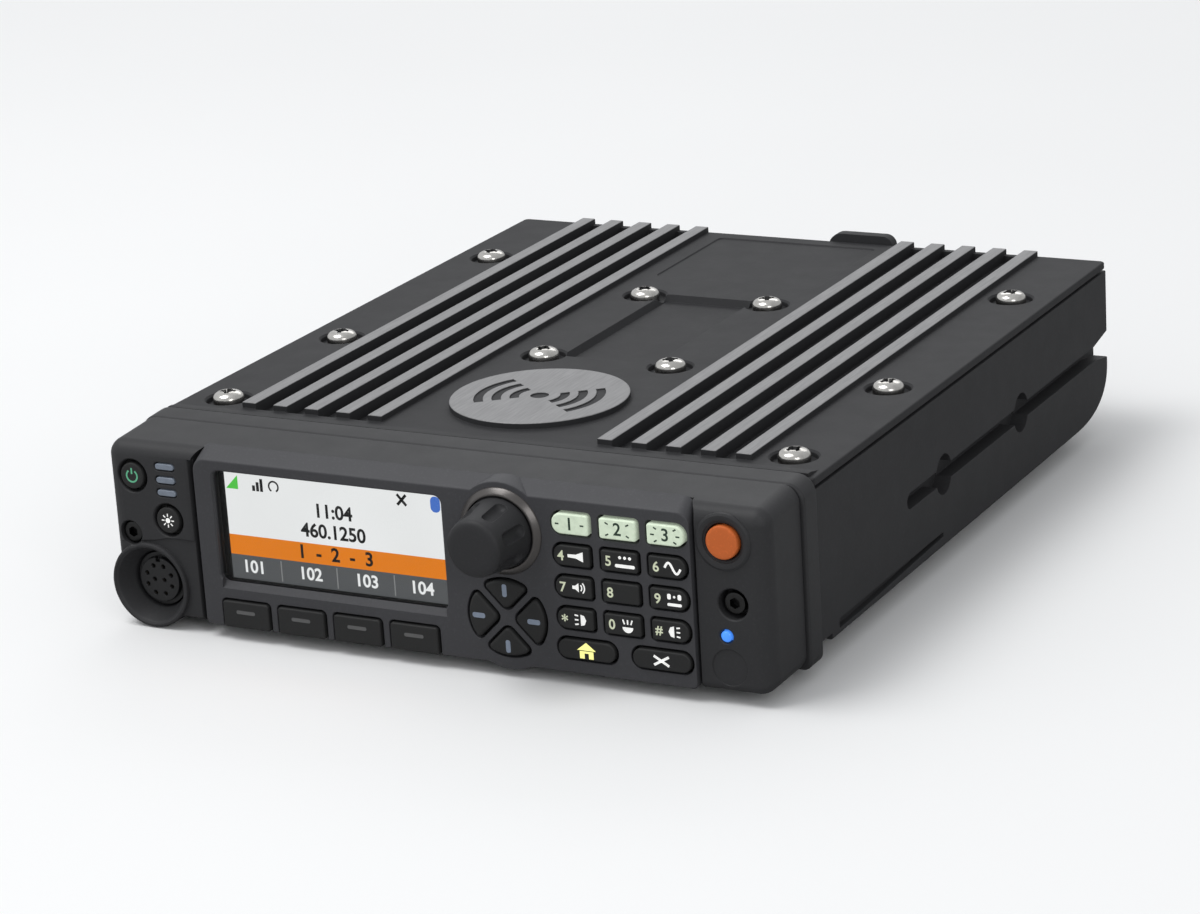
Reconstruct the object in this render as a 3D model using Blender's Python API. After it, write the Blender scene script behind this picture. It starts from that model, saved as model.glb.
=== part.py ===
"""Vehicle-mounted two-way radio: a finned die-cast transceiver with a control head on its front.

X runs to the right as seen from the front, Y from front to rear, Z up. The origin is on the chassis
underside, midway between its sides and about halfway along it. Sizes below are in millimetres, and
each mesh is scaled to metres as it is made.
"""

import math

import bmesh
import bpy
from mathutils import Matrix, Vector

UNIT = 0.001
GAP = 0.3

# Chassis: an open die-cast tray that the finned cover closes.
CHASSIS_WIDTH = 176.0
CHASSIS_TOP = 38.4
HALF_WIDTH = CHASSIS_WIDTH / 2
FRONT = -93.5
REAR = 95.3
SIDE_WALL = 8.0
END_WALL = 5.0
FLOOR = 4.0
TAIL_LENGTH = 24.0
TAIL_HEIGHT = 13.0
TAIL_POWER = 2.4
REBATE_Z = 37.0
REBATE_X = 82.5
REBATE_FRONT = FRONT + 2.5
REBATE_REAR = REAR - 2.5
GASKET_WIDTH = 1.6
FRONT_STEP_LENGTH = 7.0
FRONT_STEP_HEIGHT = 1.6
BOSS_TOP = 37.6
RESTS_X = 66.0
RESTS_Y = (-60.0, 0.0, 30.0)
REST_HALF = 3.0

# Mounting groove along both sides, with two key lobes and a flared rear mouth.
GROOVE_Z = 18.05
GROOVE_HEIGHT = 4.1
GROOVE_DEPTH = 4.0
GROOVE_START = -41.4
GROOVE_LOBES = (-18.7, 32.3)
LOBE_WIDTH = 9.8
LOBE_HEIGHT = 10.3
LOBE_DEPTH = 4.4
MOUTH_LENGTH = 10.0
MOUTH_DROP = 1.7
MOUTH_RISE = 2.0
STRIP_START = -82.5
STRIP_END = -20.2
STRIP_DEPTH = 1.6
STRIP_BOTTOM = 1.3
STRIP_TOP = 3.7

# Cast surround of the antenna socket, which rises above the cover behind its rear edge.
SHROUD_LEFT = 7.0
SHROUD_RIGHT = 26.2
SHROUD_REAR = REAR + 4.2
SHROUD_BOTTOM = 12.0
SHROUD_TOP = 43.2
ANTENNA = (16.6, 24.0)
ANTENNA_BORE = 6.5

# Rear sockets, as (left, right), with the contact tongues that stand in each.
SOCKET_Z = 21.5
SOCKET_HEIGHT = 12.2
SOCKET_WALL = 1.6
SOCKET_FRONT = 84.0
SOCKET_REAR = 97.5
SOCKET_FLOOR = 89.0
POWER_SOCKET = (-71.6, -44.4)
POWER_CONTACTS = ((-66.0, -61.0), (-55.0, -50.0))
ACCESSORY_SOCKET = (-35.6, 1.6)
ACCESSORY_CONTACTS = ((-31.0, -3.0),)
CONTACT_Z = (17.6, 19.0)

# Finned cover.
COVER_BOTTOM = CHASSIS_TOP + GAP
COVER_TOP = 41.1
COVER_FRONT = FRONT + 0.2
COVER_REAR = REAR - 0.3
FIN_TOP = 42.6
FIN_FRONT = -85.2
FIN_PITCH = 8.97
FIN_WIDTH = 3.9
FINS_PER_SIDE = 5
FIRST_FIN = 29.3
FIN_VALLEY = 39.4
PATTERN_X = -0.2
BADGE_Y = -59.2
BADGE_RADIUS = 22.1
RIB_BOTTOM = 36.2
RIB_REAR = 85.0
LIP_TOP = 42.0
LIP_CREST = -91.0
LIP_REAR = -86.4
SEAM_HEIGHT = 0.6
SEAM_DEPTH = 1.0
CENTRE_PANEL = (-12.5, 12.5, -23.2, 33.8, 39.2)
REAR_PANEL = (-23.5, 23.5, 50.0, 90.0, 40.75)

# Cover screws.
OUTER_SCREW_X = 77.05
OUTER_SCREW_Y = (-79.5, -25.3, 54.7)
INNER_SCREW_X = 17.9
INNER_SCREW_Y = (-24.4, 32.2)
SCREW_SEAT = 39.5
SCREW_TOP = 43.1
SCREW_HEAD_RADIUS = 4.0
SCREW_SHANK_RADIUS = 1.5
SCREW_HOLE_RADIUS = 1.9
SCREW_END = 29.0
COUNTERBORE_RADIUS = 6.0
BOSS_RADIUS = 4.8
PAD_UNDER_COVER = 3.2

# Control head: a housing with two wings, a proud centre bezel and a rear collar.
COLLAR_REAR = FRONT - GAP
COLLAR_FRONT = -100.6
HOUSING_REAR = COLLAR_FRONT - GAP
WING_FACE = -118.2
WING_WALL = -115.8
HEAD_TOP = 42.6
HEAD_SLOPE = 0.06
HEAD_BOTTOM = -2.4
HEAD_HALF_WIDTH = 88.0
COLLAR_HALF_WIDTH = 89.0
COLLAR_BOTTOM = HEAD_BOTTOM - 0.2
COLLAR_CORNER = 4.5
EDGE_RADIUS = 4.0
BEZEL_FACE = -119.2
BEZEL_REAR = -113.9
BEZEL_WALL_REAR = -116.9
BEZEL_LEFT = -62.2
BEZEL_RIGHT = 69.3
BEZEL_BOTTOM = -2.3
BEZEL_TOP_FRONT = 39.5
BEZEL_TOP_REAR = 41.86
CENTRE_WALL_FRONT = BEZEL_REAR + GAP
CENTRE_WALL_REAR = -111.2

# Knob, its encoder and the direction pad.
KNOB = (21.2, 30.3)
KNOB_TIP = -132.8
KNOB_BASE = -120.0
KNOB_BASE_RADIUS = 8.4
KNOB_TIP_RADIUS = 6.9
KNOB_FLUTES = 7
FIRST_FLUTE = math.radians(17.1)
FLUTE_RADIUS = 1.7
FLUTE_DEPTH = 1.15
FLUTE_ENDS = (-130.3, -122.2)
KNOB_RECESS_RADIUS = 8.8
KNOB_COLLAR_RADIUS = 10.6
KNOB_BULGE_RADIUS = 11.9
SHAFT_RADIUS = 3.0
SHAFT_TIP = -128.0
SHAFT_END = -111.2
SHAFT_HOLE_RADIUS = 3.15
PAD = (21.3, 9.2)
PAD_HALF_WIDTH = 10.0
PAD_HALF_HEIGHT = 9.3
PAD_BULGE_RADIUS = 12.8
PAD_HALF_WEB = 1.3

# Display window, and the lens that fills it.
WINDOW_LEFT = -57.0
WINDOW_RIGHT = 5.6
WINDOW_BOTTOM = 9.0
WINDOW_TOP = 37.0
LENS_FACE = -117.9
LENS_REAR = -116.7
LEDGE_SLOPE = 1.2

# Keys.
KEY_FACE = -119.8
KEY_REAR = -116.6
MAT_FRONT = -115.4
MAT_REAR = -114.2
KEY_GAP = 0.5
KEY_COLUMNS = (39.4, 51.5, 63.5)
KEY_ROWS = (34.0, 26.4, 18.8, 11.15)
KEY_NAMES = (("1", "2", "3"), ("4", "5", "6"), ("7", "8", "9"), ("star", "0", "hash"))
KEY_WIDTH = 9.4
KEY_HEIGHT = 5.0
KEY_CORNER = 0.7
KEY_ROUND_END = 2.3
WIDE_KEYS = (("home", 41.75), ("clear", 60.85))
WIDE_KEY_WIDTH = 14.8
WIDE_KEY_HEIGHT = 4.8
WIDE_KEY_Z = 3.75
SOFT_KEY_X = -50.4
SOFT_KEY_PITCH = 15.5
SOFT_KEY_WIDTH = 12.9
SOFT_KEY_TOP = 4.5
SOFT_KEY_STOP = -115.5

# Round controls and fittings on the wings, as (x, z, radius).
POWER_BUTTON = (-80.5, 33.0, 3.3)
DIMMER_BUTTON = (-71.3, 22.6, 3.3)
BUTTON_GAP = 0.8
EMERGENCY_BUTTON = (77.1, 33.5, 4.0)
INDICATOR = (76.7, 11.0, 1.35)
LEFT_HEAD_SCREW = (-82.6, 18.2, 3.1)
RIGHT_HEAD_SCREW = (78.7, 18.8, 3.7)
HEAD_SCREW_RADIUS = 2.6
HEAD_SCREW_SHANK = 1.6
HEAD_SCREW_SEAT = -113.3
MICROPHONE = (-78.2, 5.4, 10.9)
MICROPHONE_FACE = -114.6
MICROPHONE_RADIUS = 5.7
CONTACT_RING = 3.75
LIGHT_BARS_X = -71.0
LIGHT_BARS_Z = (36.1, 32.7, 29.5)
LIGHT_BAR_SIZE = (5.2, 1.5)

# Boards, and the window that links the head to the chassis as (half width, low z, high z).
MAIN_BOARD_Z = 12.0
BOARD_THICKNESS = 1.6
HEAD_BOARD_FRONT = -110.3
LINK_WINDOW = (30.0, 10.0, 30.0)

# Finishes, as (colour, roughness, metallic).
CASTING = ((0.040, 0.040, 0.043), 0.62, 0.0)
WING_PLASTIC = ((0.036, 0.036, 0.038), 0.55, 0.0)
BEZEL_PLASTIC = ((0.075, 0.075, 0.082), 0.5, 0.0)
KEY_RUBBER = ((0.028, 0.028, 0.028), 0.6, 0.0)
LIT_KEY = ((0.80, 0.90, 0.72), 0.5, 0.0)
SCREW_STEEL = ((0.75, 0.72, 0.68), 0.2, 1.0)
CIRCUIT_BOARD = ((0.02, 0.16, 0.07), 0.5, 0.0)
TIN = ((0.60, 0.60, 0.60), 0.35, 1.0)
SILICONE = ((0.10, 0.10, 0.10), 0.8, 0.0)


def point_on(axis, u, v, along):
    """A section point (u, v), placed at a distance along the X, Y or Z axis."""
    if axis == "X":
        return (along, u, v)
    if axis == "Y":
        return (u, along, v)
    return (u, v, along)


def skin(loops, closed_round=False):
    """A closed mesh through loops of equally many points, capped at both ends or joined end to end."""
    mesh = bmesh.new()
    rings = [[mesh.verts.new(Vector(point) * UNIT) for point in loop] for loop in loops]
    pairs = list(zip(rings, rings[1:]))
    if closed_round:
        pairs.append((rings[-1], rings[0]))
    else:
        mesh.faces.new(rings[0])
        mesh.faces.new(rings[-1])
    for first, second in pairs:
        for i in range(len(first)):
            j = (i + 1) % len(first)
            mesh.faces.new((first[i], first[j], second[j], second[i]))
    bmesh.ops.recalc_face_normals(mesh, faces=mesh.faces)
    return mesh


def prism(axis, outline, low, high):
    return skin([[point_on(axis, u, v, along) for u, v in outline] for along in (low, high)])


def frame(axis, outer, inner, low, high):
    """A prism with a hole right through it; both outlines have equally many points."""
    steps = ((outer, low), (outer, high), (inner, high), (inner, low))
    loops = [[point_on(axis, u, v, along) for u, v in outline] for outline, along in steps]
    return skin(loops, closed_round=True)


def rectangle(low_u, low_v, high_u, high_v):
    return ((low_u, low_v), (high_u, low_v), (high_u, high_v), (low_u, high_v))


def box(low, high):
    return prism("Z", rectangle(low[0], low[1], high[0], high[1]), low[2], high[2])


def circle(centre, radius, segments):
    turns = [2 * math.pi * (i + 0.5) / segments for i in range(segments)]
    return [(centre[0] + radius * math.cos(a), centre[1] + radius * math.sin(a)) for a in turns]


def cylinder(axis, centre, radius, low, high, segments=16):
    return prism(axis, circle(centre, radius, segments), low, high)


def turned(axis, centre, profile, segments=20):
    """A body of revolution from (radius, position) steps along its axis."""
    loops = []
    for radius, along in profile:
        loops.append([point_on(axis, u, v, along) for u, v in circle(centre, radius, segments)])
    return skin(loops)


def arc_at(corner, before, after, radius, steps):
    """Points of the arc that rounds one corner, from the side of the point before to the one after."""
    here = Vector(corner)
    back = (Vector(before) - here).normalized()
    ahead = (Vector(after) - here).normalized()
    half_angle = back.angle(ahead) / 2
    centre = here + (back + ahead).normalized() * radius / math.sin(half_angle)
    start = here + back * radius / math.tan(half_angle) - centre
    turn = math.pi - 2 * half_angle
    if back.cross(ahead) > 0:
        turn = -turn
    return [tuple(centre + Matrix.Rotation(turn * i / steps, 2) @ start) for i in range(steps + 1)]


def rounded(corners, radii, steps=3):
    """An anticlockwise outline with each corner rounded by its own radius, or kept where that is zero."""
    outline = []
    for i, corner in enumerate(corners):
        if radii[i] == 0:
            outline.append(corner)
        else:
            after = corners[(i + 1) % len(corners)]
            outline += arc_at(corner, corners[i - 1], after, radii[i], steps)
    return outline


def rounded_rectangle(centre, width, height, radii, steps=3):
    """Radii are given for the lower left, lower right, upper right and upper left corners."""
    u, v = centre
    corners = rectangle(u - width / 2, v - height / 2, u + width / 2, v + height / 2)
    return rounded(corners, radii, steps)


def joined(meshes):
    """Several separate closed meshes in one, to cut or add them in one go."""
    whole = bmesh.new()
    for mesh in meshes:
        copied = {vertex: whole.verts.new(vertex.co) for vertex in mesh.verts}
        for face in mesh.faces:
            whole.faces.new([copied[vertex] for vertex in face.verts])
        mesh.free()
    return whole


def add(name, mesh, finish, origin=(0.0, 0.0, 0.0)):
    """A named object with its own material, whose origin is at the given point."""
    place = Vector(origin) * UNIT
    bmesh.ops.translate(mesh, vec=-place, verts=mesh.verts)
    data = bpy.data.meshes.new(name)
    mesh.to_mesh(data)
    mesh.free()
    data.shade_smooth()
    data.set_sharp_from_angle(angle=math.radians(30))
    colour, roughness, metallic = finish
    material = bpy.data.materials.new(name)
    material.use_nodes = True
    shader = material.node_tree.nodes["Principled BSDF"]
    shader.inputs["Base Color"].default_value = (*colour, 1.0)
    shader.inputs["Roughness"].default_value = roughness
    shader.inputs["Metallic"].default_value = metallic
    data.materials.append(material)
    piece = bpy.data.objects.new(name, data)
    piece.location = place
    bpy.context.scene.collection.objects.link(piece)
    return piece


def combine(piece, operation, meshes):
    """Adds a Boolean modifier that works with a hidden helper made from separate meshes."""
    name = f"{piece.name}_{operation.lower()}_{len(piece.modifiers)}"
    mesh = joined(meshes)
    data = bpy.data.meshes.new(name)
    mesh.to_mesh(data)
    mesh.free()
    helper = bpy.data.objects.new(name, data)
    helper.hide_render = True
    helper.display_type = "WIRE"
    bpy.context.scene.collection.objects.link(helper)
    modifier = piece.modifiers.new(name, "BOOLEAN")
    modifier.operation = operation
    modifier.object = helper


def cut(piece, *meshes):
    combine(piece, "DIFFERENCE", meshes)


def fuse(piece, *meshes):
    combine(piece, "UNION", meshes)


# Chassis and what it holds


def screw_places():
    outer = [(side * OUTER_SCREW_X, y) for y in OUTER_SCREW_Y for side in (-1, 1)]
    inner = [(side * INNER_SCREW_X, y) for y in INNER_SCREW_Y for side in (-1, 1)]
    return outer + inner


def tray_profile(front, rear, bottom, top, tail_length, tail_height):
    """Side outline of a tray whose lower rear corner is a full superelliptic curve."""
    outline = [(front, bottom)]
    steps = 8
    for step in range(steps + 1):
        turn = math.pi / 2 * step / steps
        along = math.sin(turn) ** (2 / TAIL_POWER)
        down = math.cos(turn) ** (2 / TAIL_POWER)
        outline.append((rear - tail_length * (1 - along), bottom + tail_height * (1 - down)))
    return outline + [(rear, top), (front, top)]


def from_side(side, depth):
    """The X range of a cut this deep into one side of the chassis."""
    return sorted((side * (HALF_WIDTH - depth), side * (HALF_WIDTH + 1)))


def groove_slot(side):
    """The long slot with a round front end, which widens into a mouth at the rear face."""
    half = GROOVE_HEIGHT / 2
    mouth = REAR - MOUTH_LENGTH
    low, high = GROOVE_Z - half, GROOVE_Z + half
    end = REAR + 1
    corners = ((GROOVE_START, low), (mouth, low), (end, low - MOUTH_DROP), (end, high + MOUTH_RISE))
    corners += ((mouth, high), (GROOVE_START, high))
    round_end = half - 0.05
    return prism("X", rounded(corners, (round_end, 0, 0, 0, 0, round_end)), *from_side(side, GROOVE_DEPTH))


def groove_lobes(side):
    """The two upright ovals that cross the slot."""
    lobes = []
    for y in GROOVE_LOBES:
        outline = []
        for u, v in circle((0, 0), 1, 16):
            outline.append((y + u * LOBE_WIDTH / 2, GROOVE_Z + v * LOBE_HEIGHT / 2))
        lobes.append(prism("X", outline, *from_side(side, LOBE_DEPTH)))
    return lobes


def socket_opening(sides, inner_rear):
    """The window in the rear wall that a socket's shell passes through, with the usual gap round it."""
    half = SOCKET_HEIGHT / 2 + GAP
    low = (sides[0] - GAP, inner_rear, SOCKET_Z - half)
    return box(low, (sides[1] + GAP, REAR + 1, SOCKET_Z + half))


def chassis():
    profile = tray_profile(FRONT, REAR, 0.0, CHASSIS_TOP, TAIL_LENGTH, TAIL_HEIGHT)
    tray = add("chassis", prism("X", profile, -HALF_WIDTH, HALF_WIDTH), CASTING)
    inside_x = HALF_WIDTH - SIDE_WALL
    inside = tray_profile(
        FRONT + END_WALL, REAR - END_WALL, FLOOR, CHASSIS_TOP + 5, TAIL_LENGTH - 5, TAIL_HEIGHT - 4
    )
    cut(tray, prism("X", inside, -inside_x, inside_x))
    fuse(tray, *[cylinder("Z", place, BOSS_RADIUS, FLOOR - 1, BOSS_TOP, 12) for place in screw_places()])
    rests = []
    for x in (-RESTS_X, RESTS_X):
        for y in RESTS_Y:
            low = (x - REST_HALF, y - REST_HALF, FLOOR - 1)
            rests.append(box(low, (x + REST_HALF, y + REST_HALF, MAIN_BOARD_Z - GAP)))
    fuse(tray, *rests)
    fuse(tray, box((SHROUD_LEFT, REAR - 1.5, SHROUD_BOTTOM), (SHROUD_RIGHT, SHROUD_REAR - 0.2, 35.0)))
    corners = rectangle(SHROUD_LEFT, 30.0, SHROUD_RIGHT, SHROUD_TOP)
    fuse(tray, prism("Y", rounded(corners, (0, 0, 3, 4)), REAR + GAP, SHROUD_REAR))
    rebate = box((-REBATE_X, REBATE_FRONT, REBATE_Z), (REBATE_X, REBATE_REAR, CHASSIS_TOP + 1))
    step_high = (HALF_WIDTH + 1, FRONT + FRONT_STEP_LENGTH, FRONT_STEP_HEIGHT)
    cut(tray, rebate, box((-HALF_WIDTH - 1, FRONT - 1, -1), step_high))
    pilots = [
        cylinder("Z", place, SCREW_SHANK_RADIUS + GAP, SCREW_END - 2, CHASSIS_TOP + 1, 8)
        for place in screw_places()
    ]
    cut(tray, *pilots)
    corners = ((STRIP_START, STRIP_BOTTOM), (STRIP_START + 12, STRIP_BOTTOM), (STRIP_END, STRIP_TOP - 1.2))
    corners += ((STRIP_END, STRIP_TOP), (STRIP_START, STRIP_TOP))
    strips = [prism("X", corners, *from_side(side, STRIP_DEPTH)) for side in (-1, 1)]
    cut(tray, groove_slot(-1), groove_slot(1), *strips)
    cut(tray, *groove_lobes(-1), *groove_lobes(1))
    half, low_z, high_z = LINK_WINDOW
    inner_rear = REAR - END_WALL - 1
    cut(
        tray,
        box((-half, FRONT - 1, low_z), (half, FRONT + END_WALL + 1, high_z)),
        socket_opening(POWER_SOCKET, inner_rear),
        socket_opening(ACCESSORY_SOCKET, inner_rear),
        cylinder("Y", ANTENNA, ANTENNA_BORE, inner_rear, SHROUD_REAR + 1, 20),
    )


def cover_gasket():
    loops = []
    for inset in (GAP, GAP + GASKET_WIDTH):
        x, low, high = REBATE_X - inset, REBATE_FRONT + inset, REBATE_REAR - inset
        loops.append(rectangle(-x, low, x, high))
    add("cover_gasket", frame("Z", *loops, REBATE_Z + GAP, CHASSIS_TOP), SILICONE)


def top_cover():
    loops = []
    seam_top = COVER_BOTTOM + SEAM_HEIGHT
    steps = ((COVER_BOTTOM, SEAM_DEPTH), (seam_top, SEAM_DEPTH), (seam_top, 0.0))
    steps += ((COVER_TOP - 0.4, 0.0), (COVER_TOP - 0.15, 0.15), (COVER_TOP, 0.4))
    for z, inset in steps:
        x, low, high = HALF_WIDTH - inset, COVER_FRONT + inset, COVER_REAR - inset
        loops.append([(u, v, z) for u, v in rectangle(-x, low, x, high)])
    cover = add("top_cover", skin(loops), CASTING)
    group_width = FIN_PITCH * (FINS_PER_SIDE - 1) + FIN_WIDTH
    plate_bottom = COVER_BOTTOM + 0.3
    left, right, front, rear, _ = CENTRE_PANEL
    blocks = [box((left, front - 1, RIB_BOTTOM), (right, rear + 1, plate_bottom))]
    valleys = []
    for side in (-1, 1):
        ends = (side * FIRST_FIN, side * (FIRST_FIN + group_width))
        near, far = sorted(PATTERN_X + end for end in ends)
        blocks.append(box((near, FIN_FRONT, 40.0), (far, COVER_REAR - 0.2, FIN_TOP)))
        blocks.append(box((near + 1, FIN_FRONT, RIB_BOTTOM), (far - 1, RIB_REAR, plate_bottom)))
        for i in range(FINS_PER_SIDE - 1):
            start = FIRST_FIN + FIN_WIDTH + FIN_PITCH * i
            ends = (side * start, side * (start + FIN_PITCH - FIN_WIDTH))
            low, high = sorted(PATTERN_X + end for end in ends)
            valleys.append(box((low, FIN_FRONT - 1, FIN_VALLEY), (high, COVER_REAR - 2.2, FIN_TOP + 1)))
    front_lip = (
        (COVER_FRONT + 0.9, COVER_TOP - 1),
        (LIP_REAR, COVER_TOP - 1),
        (LIP_REAR, COVER_TOP - 0.05),
        (LIP_CREST, LIP_TOP),
        (COVER_FRONT + 0.9, LIP_TOP),
    )
    blocks.append(prism("X", front_lip, 1.5 - HALF_WIDTH, HALF_WIDTH - 1.5))
    pads = []
    for place in screw_places():
        pads.append(cylinder("Z", place, PAD_UNDER_COVER, REBATE_Z + GAP, plate_bottom, 12))
    badge = cylinder("Z", (PATTERN_X, BADGE_Y), BADGE_RADIUS, 40.0, FIN_TOP, 40)
    fuse(cover, badge, *blocks, *pads)
    bore = (
        (SCREW_HOLE_RADIUS, REBATE_Z - 1),
        (SCREW_HOLE_RADIUS, SCREW_SEAT),
        (COUNTERBORE_RADIUS, SCREW_SEAT),
        (COUNTERBORE_RADIUS, FIN_TOP + 1),
    )
    cut(cover, *valleys, *[turned("Z", place, bore, 16) for place in screw_places()])
    for left, right, front, rear, floor in (CENTRE_PANEL, REAR_PANEL):
        cut(cover, box((left, front, floor), (right, rear, FIN_TOP)))


def cover_screws():
    profile = (
        (SCREW_SHANK_RADIUS, SCREW_END),
        (SCREW_SHANK_RADIUS, SCREW_SEAT + GAP),
        (SCREW_HEAD_RADIUS, SCREW_SEAT + GAP),
        (SCREW_HEAD_RADIUS, SCREW_TOP - 1.9),
        (0.92 * SCREW_HEAD_RADIUS, SCREW_TOP - 1.1),
        (0.7 * SCREW_HEAD_RADIUS, SCREW_TOP - 0.4),
        (0.3 * SCREW_HEAD_RADIUS, SCREW_TOP),
    )
    for i, place in enumerate(screw_places()):
        add(f"cover_screw_{i + 1}", turned("Z", place, profile, 16), SCREW_STEEL)


def electronics():
    board_top = MAIN_BOARD_Z + BOARD_THICKNESS
    board = box((-68.5, -84.0, MAIN_BOARD_Z), (68.5, 80.0, board_top))
    main_board = add("main_board", board, CIRCUIT_BOARD)
    posts = [(side * INNER_SCREW_X, y) for y in INNER_SCREW_Y for side in (-1, 1)]
    cut(main_board, *[cylinder("Z", post, BOSS_RADIUS + 0.5, 11, 15, 12) for post in posts])
    shield = add("rf_shield", box((-62.0, -70.0, board_top + GAP), (-26.0, 60.0, 24.0)), TIN)
    cut(shield, box((-61.2, -69.2, 13.0), (-26.8, 59.2, 23.2)))
    base = ((28.0, board_top + GAP), (62.0, board_top + GAP), (62.0, 16.0), (58.0, 16.0))
    section = base + ((58.0, 20.0), (32.0, 20.0), (32.0, 16.0), (28.0, 16.0))
    add("power_amplifier", prism("Y", section, -10.0, 66.0), TIN)


def rear_connectors():
    jack = ((6.2, 84.0), (6.2, 98.8), (4.4, 98.8), (4.4, 91.0), (1.1, 91.0), (1.1, 97.0))
    add("antenna_connector", turned("Y", ANTENNA, jack, 20), TIN)
    shells = (
        ("power_connector", POWER_SOCKET, POWER_CONTACTS),
        ("accessory_connector", ACCESSORY_SOCKET, ACCESSORY_CONTACTS),
    )
    low_z, high_z = CONTACT_Z
    for name, (left, right), contacts in shells:
        centre = ((left + right) / 2, SOCKET_Z)
        outer = rounded_rectangle(centre, right - left, SOCKET_HEIGHT, (3, 3, 1, 1))
        inside = (right - left - 2 * SOCKET_WALL, SOCKET_HEIGHT - 2 * SOCKET_WALL)
        inner = rounded_rectangle(centre, *inside, (1.5, 1.5, 0.5, 0.5))
        shell = add(name, prism("Y", outer, SOCKET_FRONT, SOCKET_REAR), KEY_RUBBER)
        cut(shell, prism("Y", inner, SOCKET_FLOOR, SOCKET_REAR + 1))
        tongue_ends = (SOCKET_FLOOR - 1, SOCKET_REAR - 1.5)
        tongues = []
        for low, high in contacts:
            tongues.append(box((low, tongue_ends[0], low_z), (high, tongue_ends[1], high_z)))
        fuse(shell, *tongues)


# Control head


def head_top_at(y):
    """Height of the head's gently sloping top."""
    return HEAD_TOP - HEAD_SLOPE * (COLLAR_REAR - y)


def rounded_side_body(front, rear, bottom, half_width, front_radius, side_radius, steps=4):
    """A body with a sloping top, whose front, top and bottom edges all round over into its sides."""
    loops = []
    for side in (-1, 1):
        for step in range(steps + 1):
            turn = math.pi / 2 * (step if side > 0 else steps - step) / steps
            inset = side_radius * (1 - math.cos(turn))
            x = side * (half_width - side_radius * (1 - math.sin(turn)))
            y = front + inset
            low = bottom + inset
            tops = (head_top_at(rear) - inset, head_top_at(y) - inset)
            corners = ((y, low), (rear, low), (rear, tops[0]), (y, tops[1]))
            soft = max(front_radius - inset, 0.3)
            loops.append([(x, u, v) for u, v in rounded(corners, (min(soft, 2.0), 0.3, 0.3, soft))])
    return skin(loops)


def head_housing():
    body = rounded_side_body(WING_FACE, HOUSING_REAR, HEAD_BOTTOM, HEAD_HALF_WIDTH, 4.0, EDGE_RADIUS)
    housing = add("head_housing", body, WING_PLASTIC)
    side = HEAD_HALF_WIDTH - 2.6
    left, right = BEZEL_LEFT - 2.8, BEZEL_RIGHT + 2.7
    cavity = (
        (side, HOUSING_REAR + 2),
        (-side, HOUSING_REAR + 2),
        (-side, WING_WALL),
        (left, WING_WALL),
        (left, CENTRE_WALL_REAR),
        (right, CENTRE_WALL_REAR),
        (right, WING_WALL),
        (side, WING_WALL),
    )
    cut(housing, prism("Z", cavity, 0.2, 38.6))
    x, z, radius = MICROPHONE
    bowl = ((radius - 0.7, -118.9), (radius, -118.2), (radius, -104.0))
    fuse(housing, turned("Y", (x, z), bowl, 28))
    fuse(housing, *[cylinder("Y", (x, z), 4.6, -116.2, -112.0, 12) for x, z, _ in head_screw_places()])
    cut(housing, box((BEZEL_LEFT - GAP, -125, -10), (BEZEL_RIGHT + GAP, CENTRE_WALL_FRONT, 50)))
    cut(housing, box((-59.0, -115.0, 2.0), (65.5, CENTRE_WALL_REAR + 1, 37.2)))
    bores = []
    wide, narrow = (POWER_BUTTON, DIMMER_BUTTON), (EMERGENCY_BUTTON, INDICATOR)
    for (x, z, radius), gap in [(hole, BUTTON_GAP) for hole in wide] + [(hole, GAP) for hole in narrow]:
        bores.append(cylinder("Y", (x, z), radius + gap, -125, WING_WALL + 1, 20))
    for x, z, radius in head_screw_places():
        steps = ((radius, -125), (radius, HEAD_SCREW_SEAT), (2.0, HEAD_SCREW_SEAT), (2.0, -111))
        bores.append(turned("Y", (x, z), steps, 16))
    x, z, _ = MICROPHONE
    bores.append(turned("Y", (x, z), ((9.7, -120), (9.2, -118.6), (7.2, -113.6), (7.2, -103)), 28))
    width, height = LIGHT_BAR_SIZE
    for z in LIGHT_BARS_Z:
        slot = rounded_rectangle((LIGHT_BARS_X, z), width + 2 * GAP, height + 2 * GAP, [0.6] * 4)
        bores.append(prism("Y", slot, -125, WING_WALL + 1))
    cut(housing, *bores)


def head_screw_places():
    return (LEFT_HEAD_SCREW, RIGHT_HEAD_SCREW)


def head_back():
    """The collar between the housing and the chassis, a little larger than both."""
    loops = []
    steps = ((COLLAR_FRONT, 0.5), (COLLAR_FRONT + 0.5, 0.0), (COLLAR_REAR - 0.5, 0.0), (COLLAR_REAR, 0.4))
    for y, inset in steps:
        corners = rectangle(
            inset - COLLAR_HALF_WIDTH,
            COLLAR_BOTTOM + inset,
            COLLAR_HALF_WIDTH - inset,
            head_top_at(y) - inset / 2,
        )
        outline = rounded(corners, (2.5, 2.5, COLLAR_CORNER, COLLAR_CORNER), 4)
        loops.append([(x, y, z) for x, z in outline])
    back = add("head_back", skin(loops), WING_PLASTIC)
    cut(back, box((-77.0, COLLAR_FRONT - 1, 2.5), (73.0, -96.2, 37.5)))
    half, low, high = LINK_WINDOW
    holes = []
    for x, z, _ in head_screw_places():
        holes.append(cylinder("Y", (x, z), HEAD_SCREW_SHANK + GAP, -102, -95.5, 12))
    cut(back, box((-half, -97, low), (half, COLLAR_REAR + 1, high)), *holes)


def bump(outline_z, centre, radius, side, steps=6):
    """Points of a circular bulge on a level edge, side +1 above it and -1 below it, left to right."""
    rise = abs(outline_z - centre[1])
    reach = math.acos(min(rise / radius, 1.0))
    points = []
    for step in range(steps + 1):
        turn = reach * (2 * step / steps - 1)
        points.append((centre[0] + radius * math.sin(turn), centre[1] + side * radius * math.cos(turn)))
    return points


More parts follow.
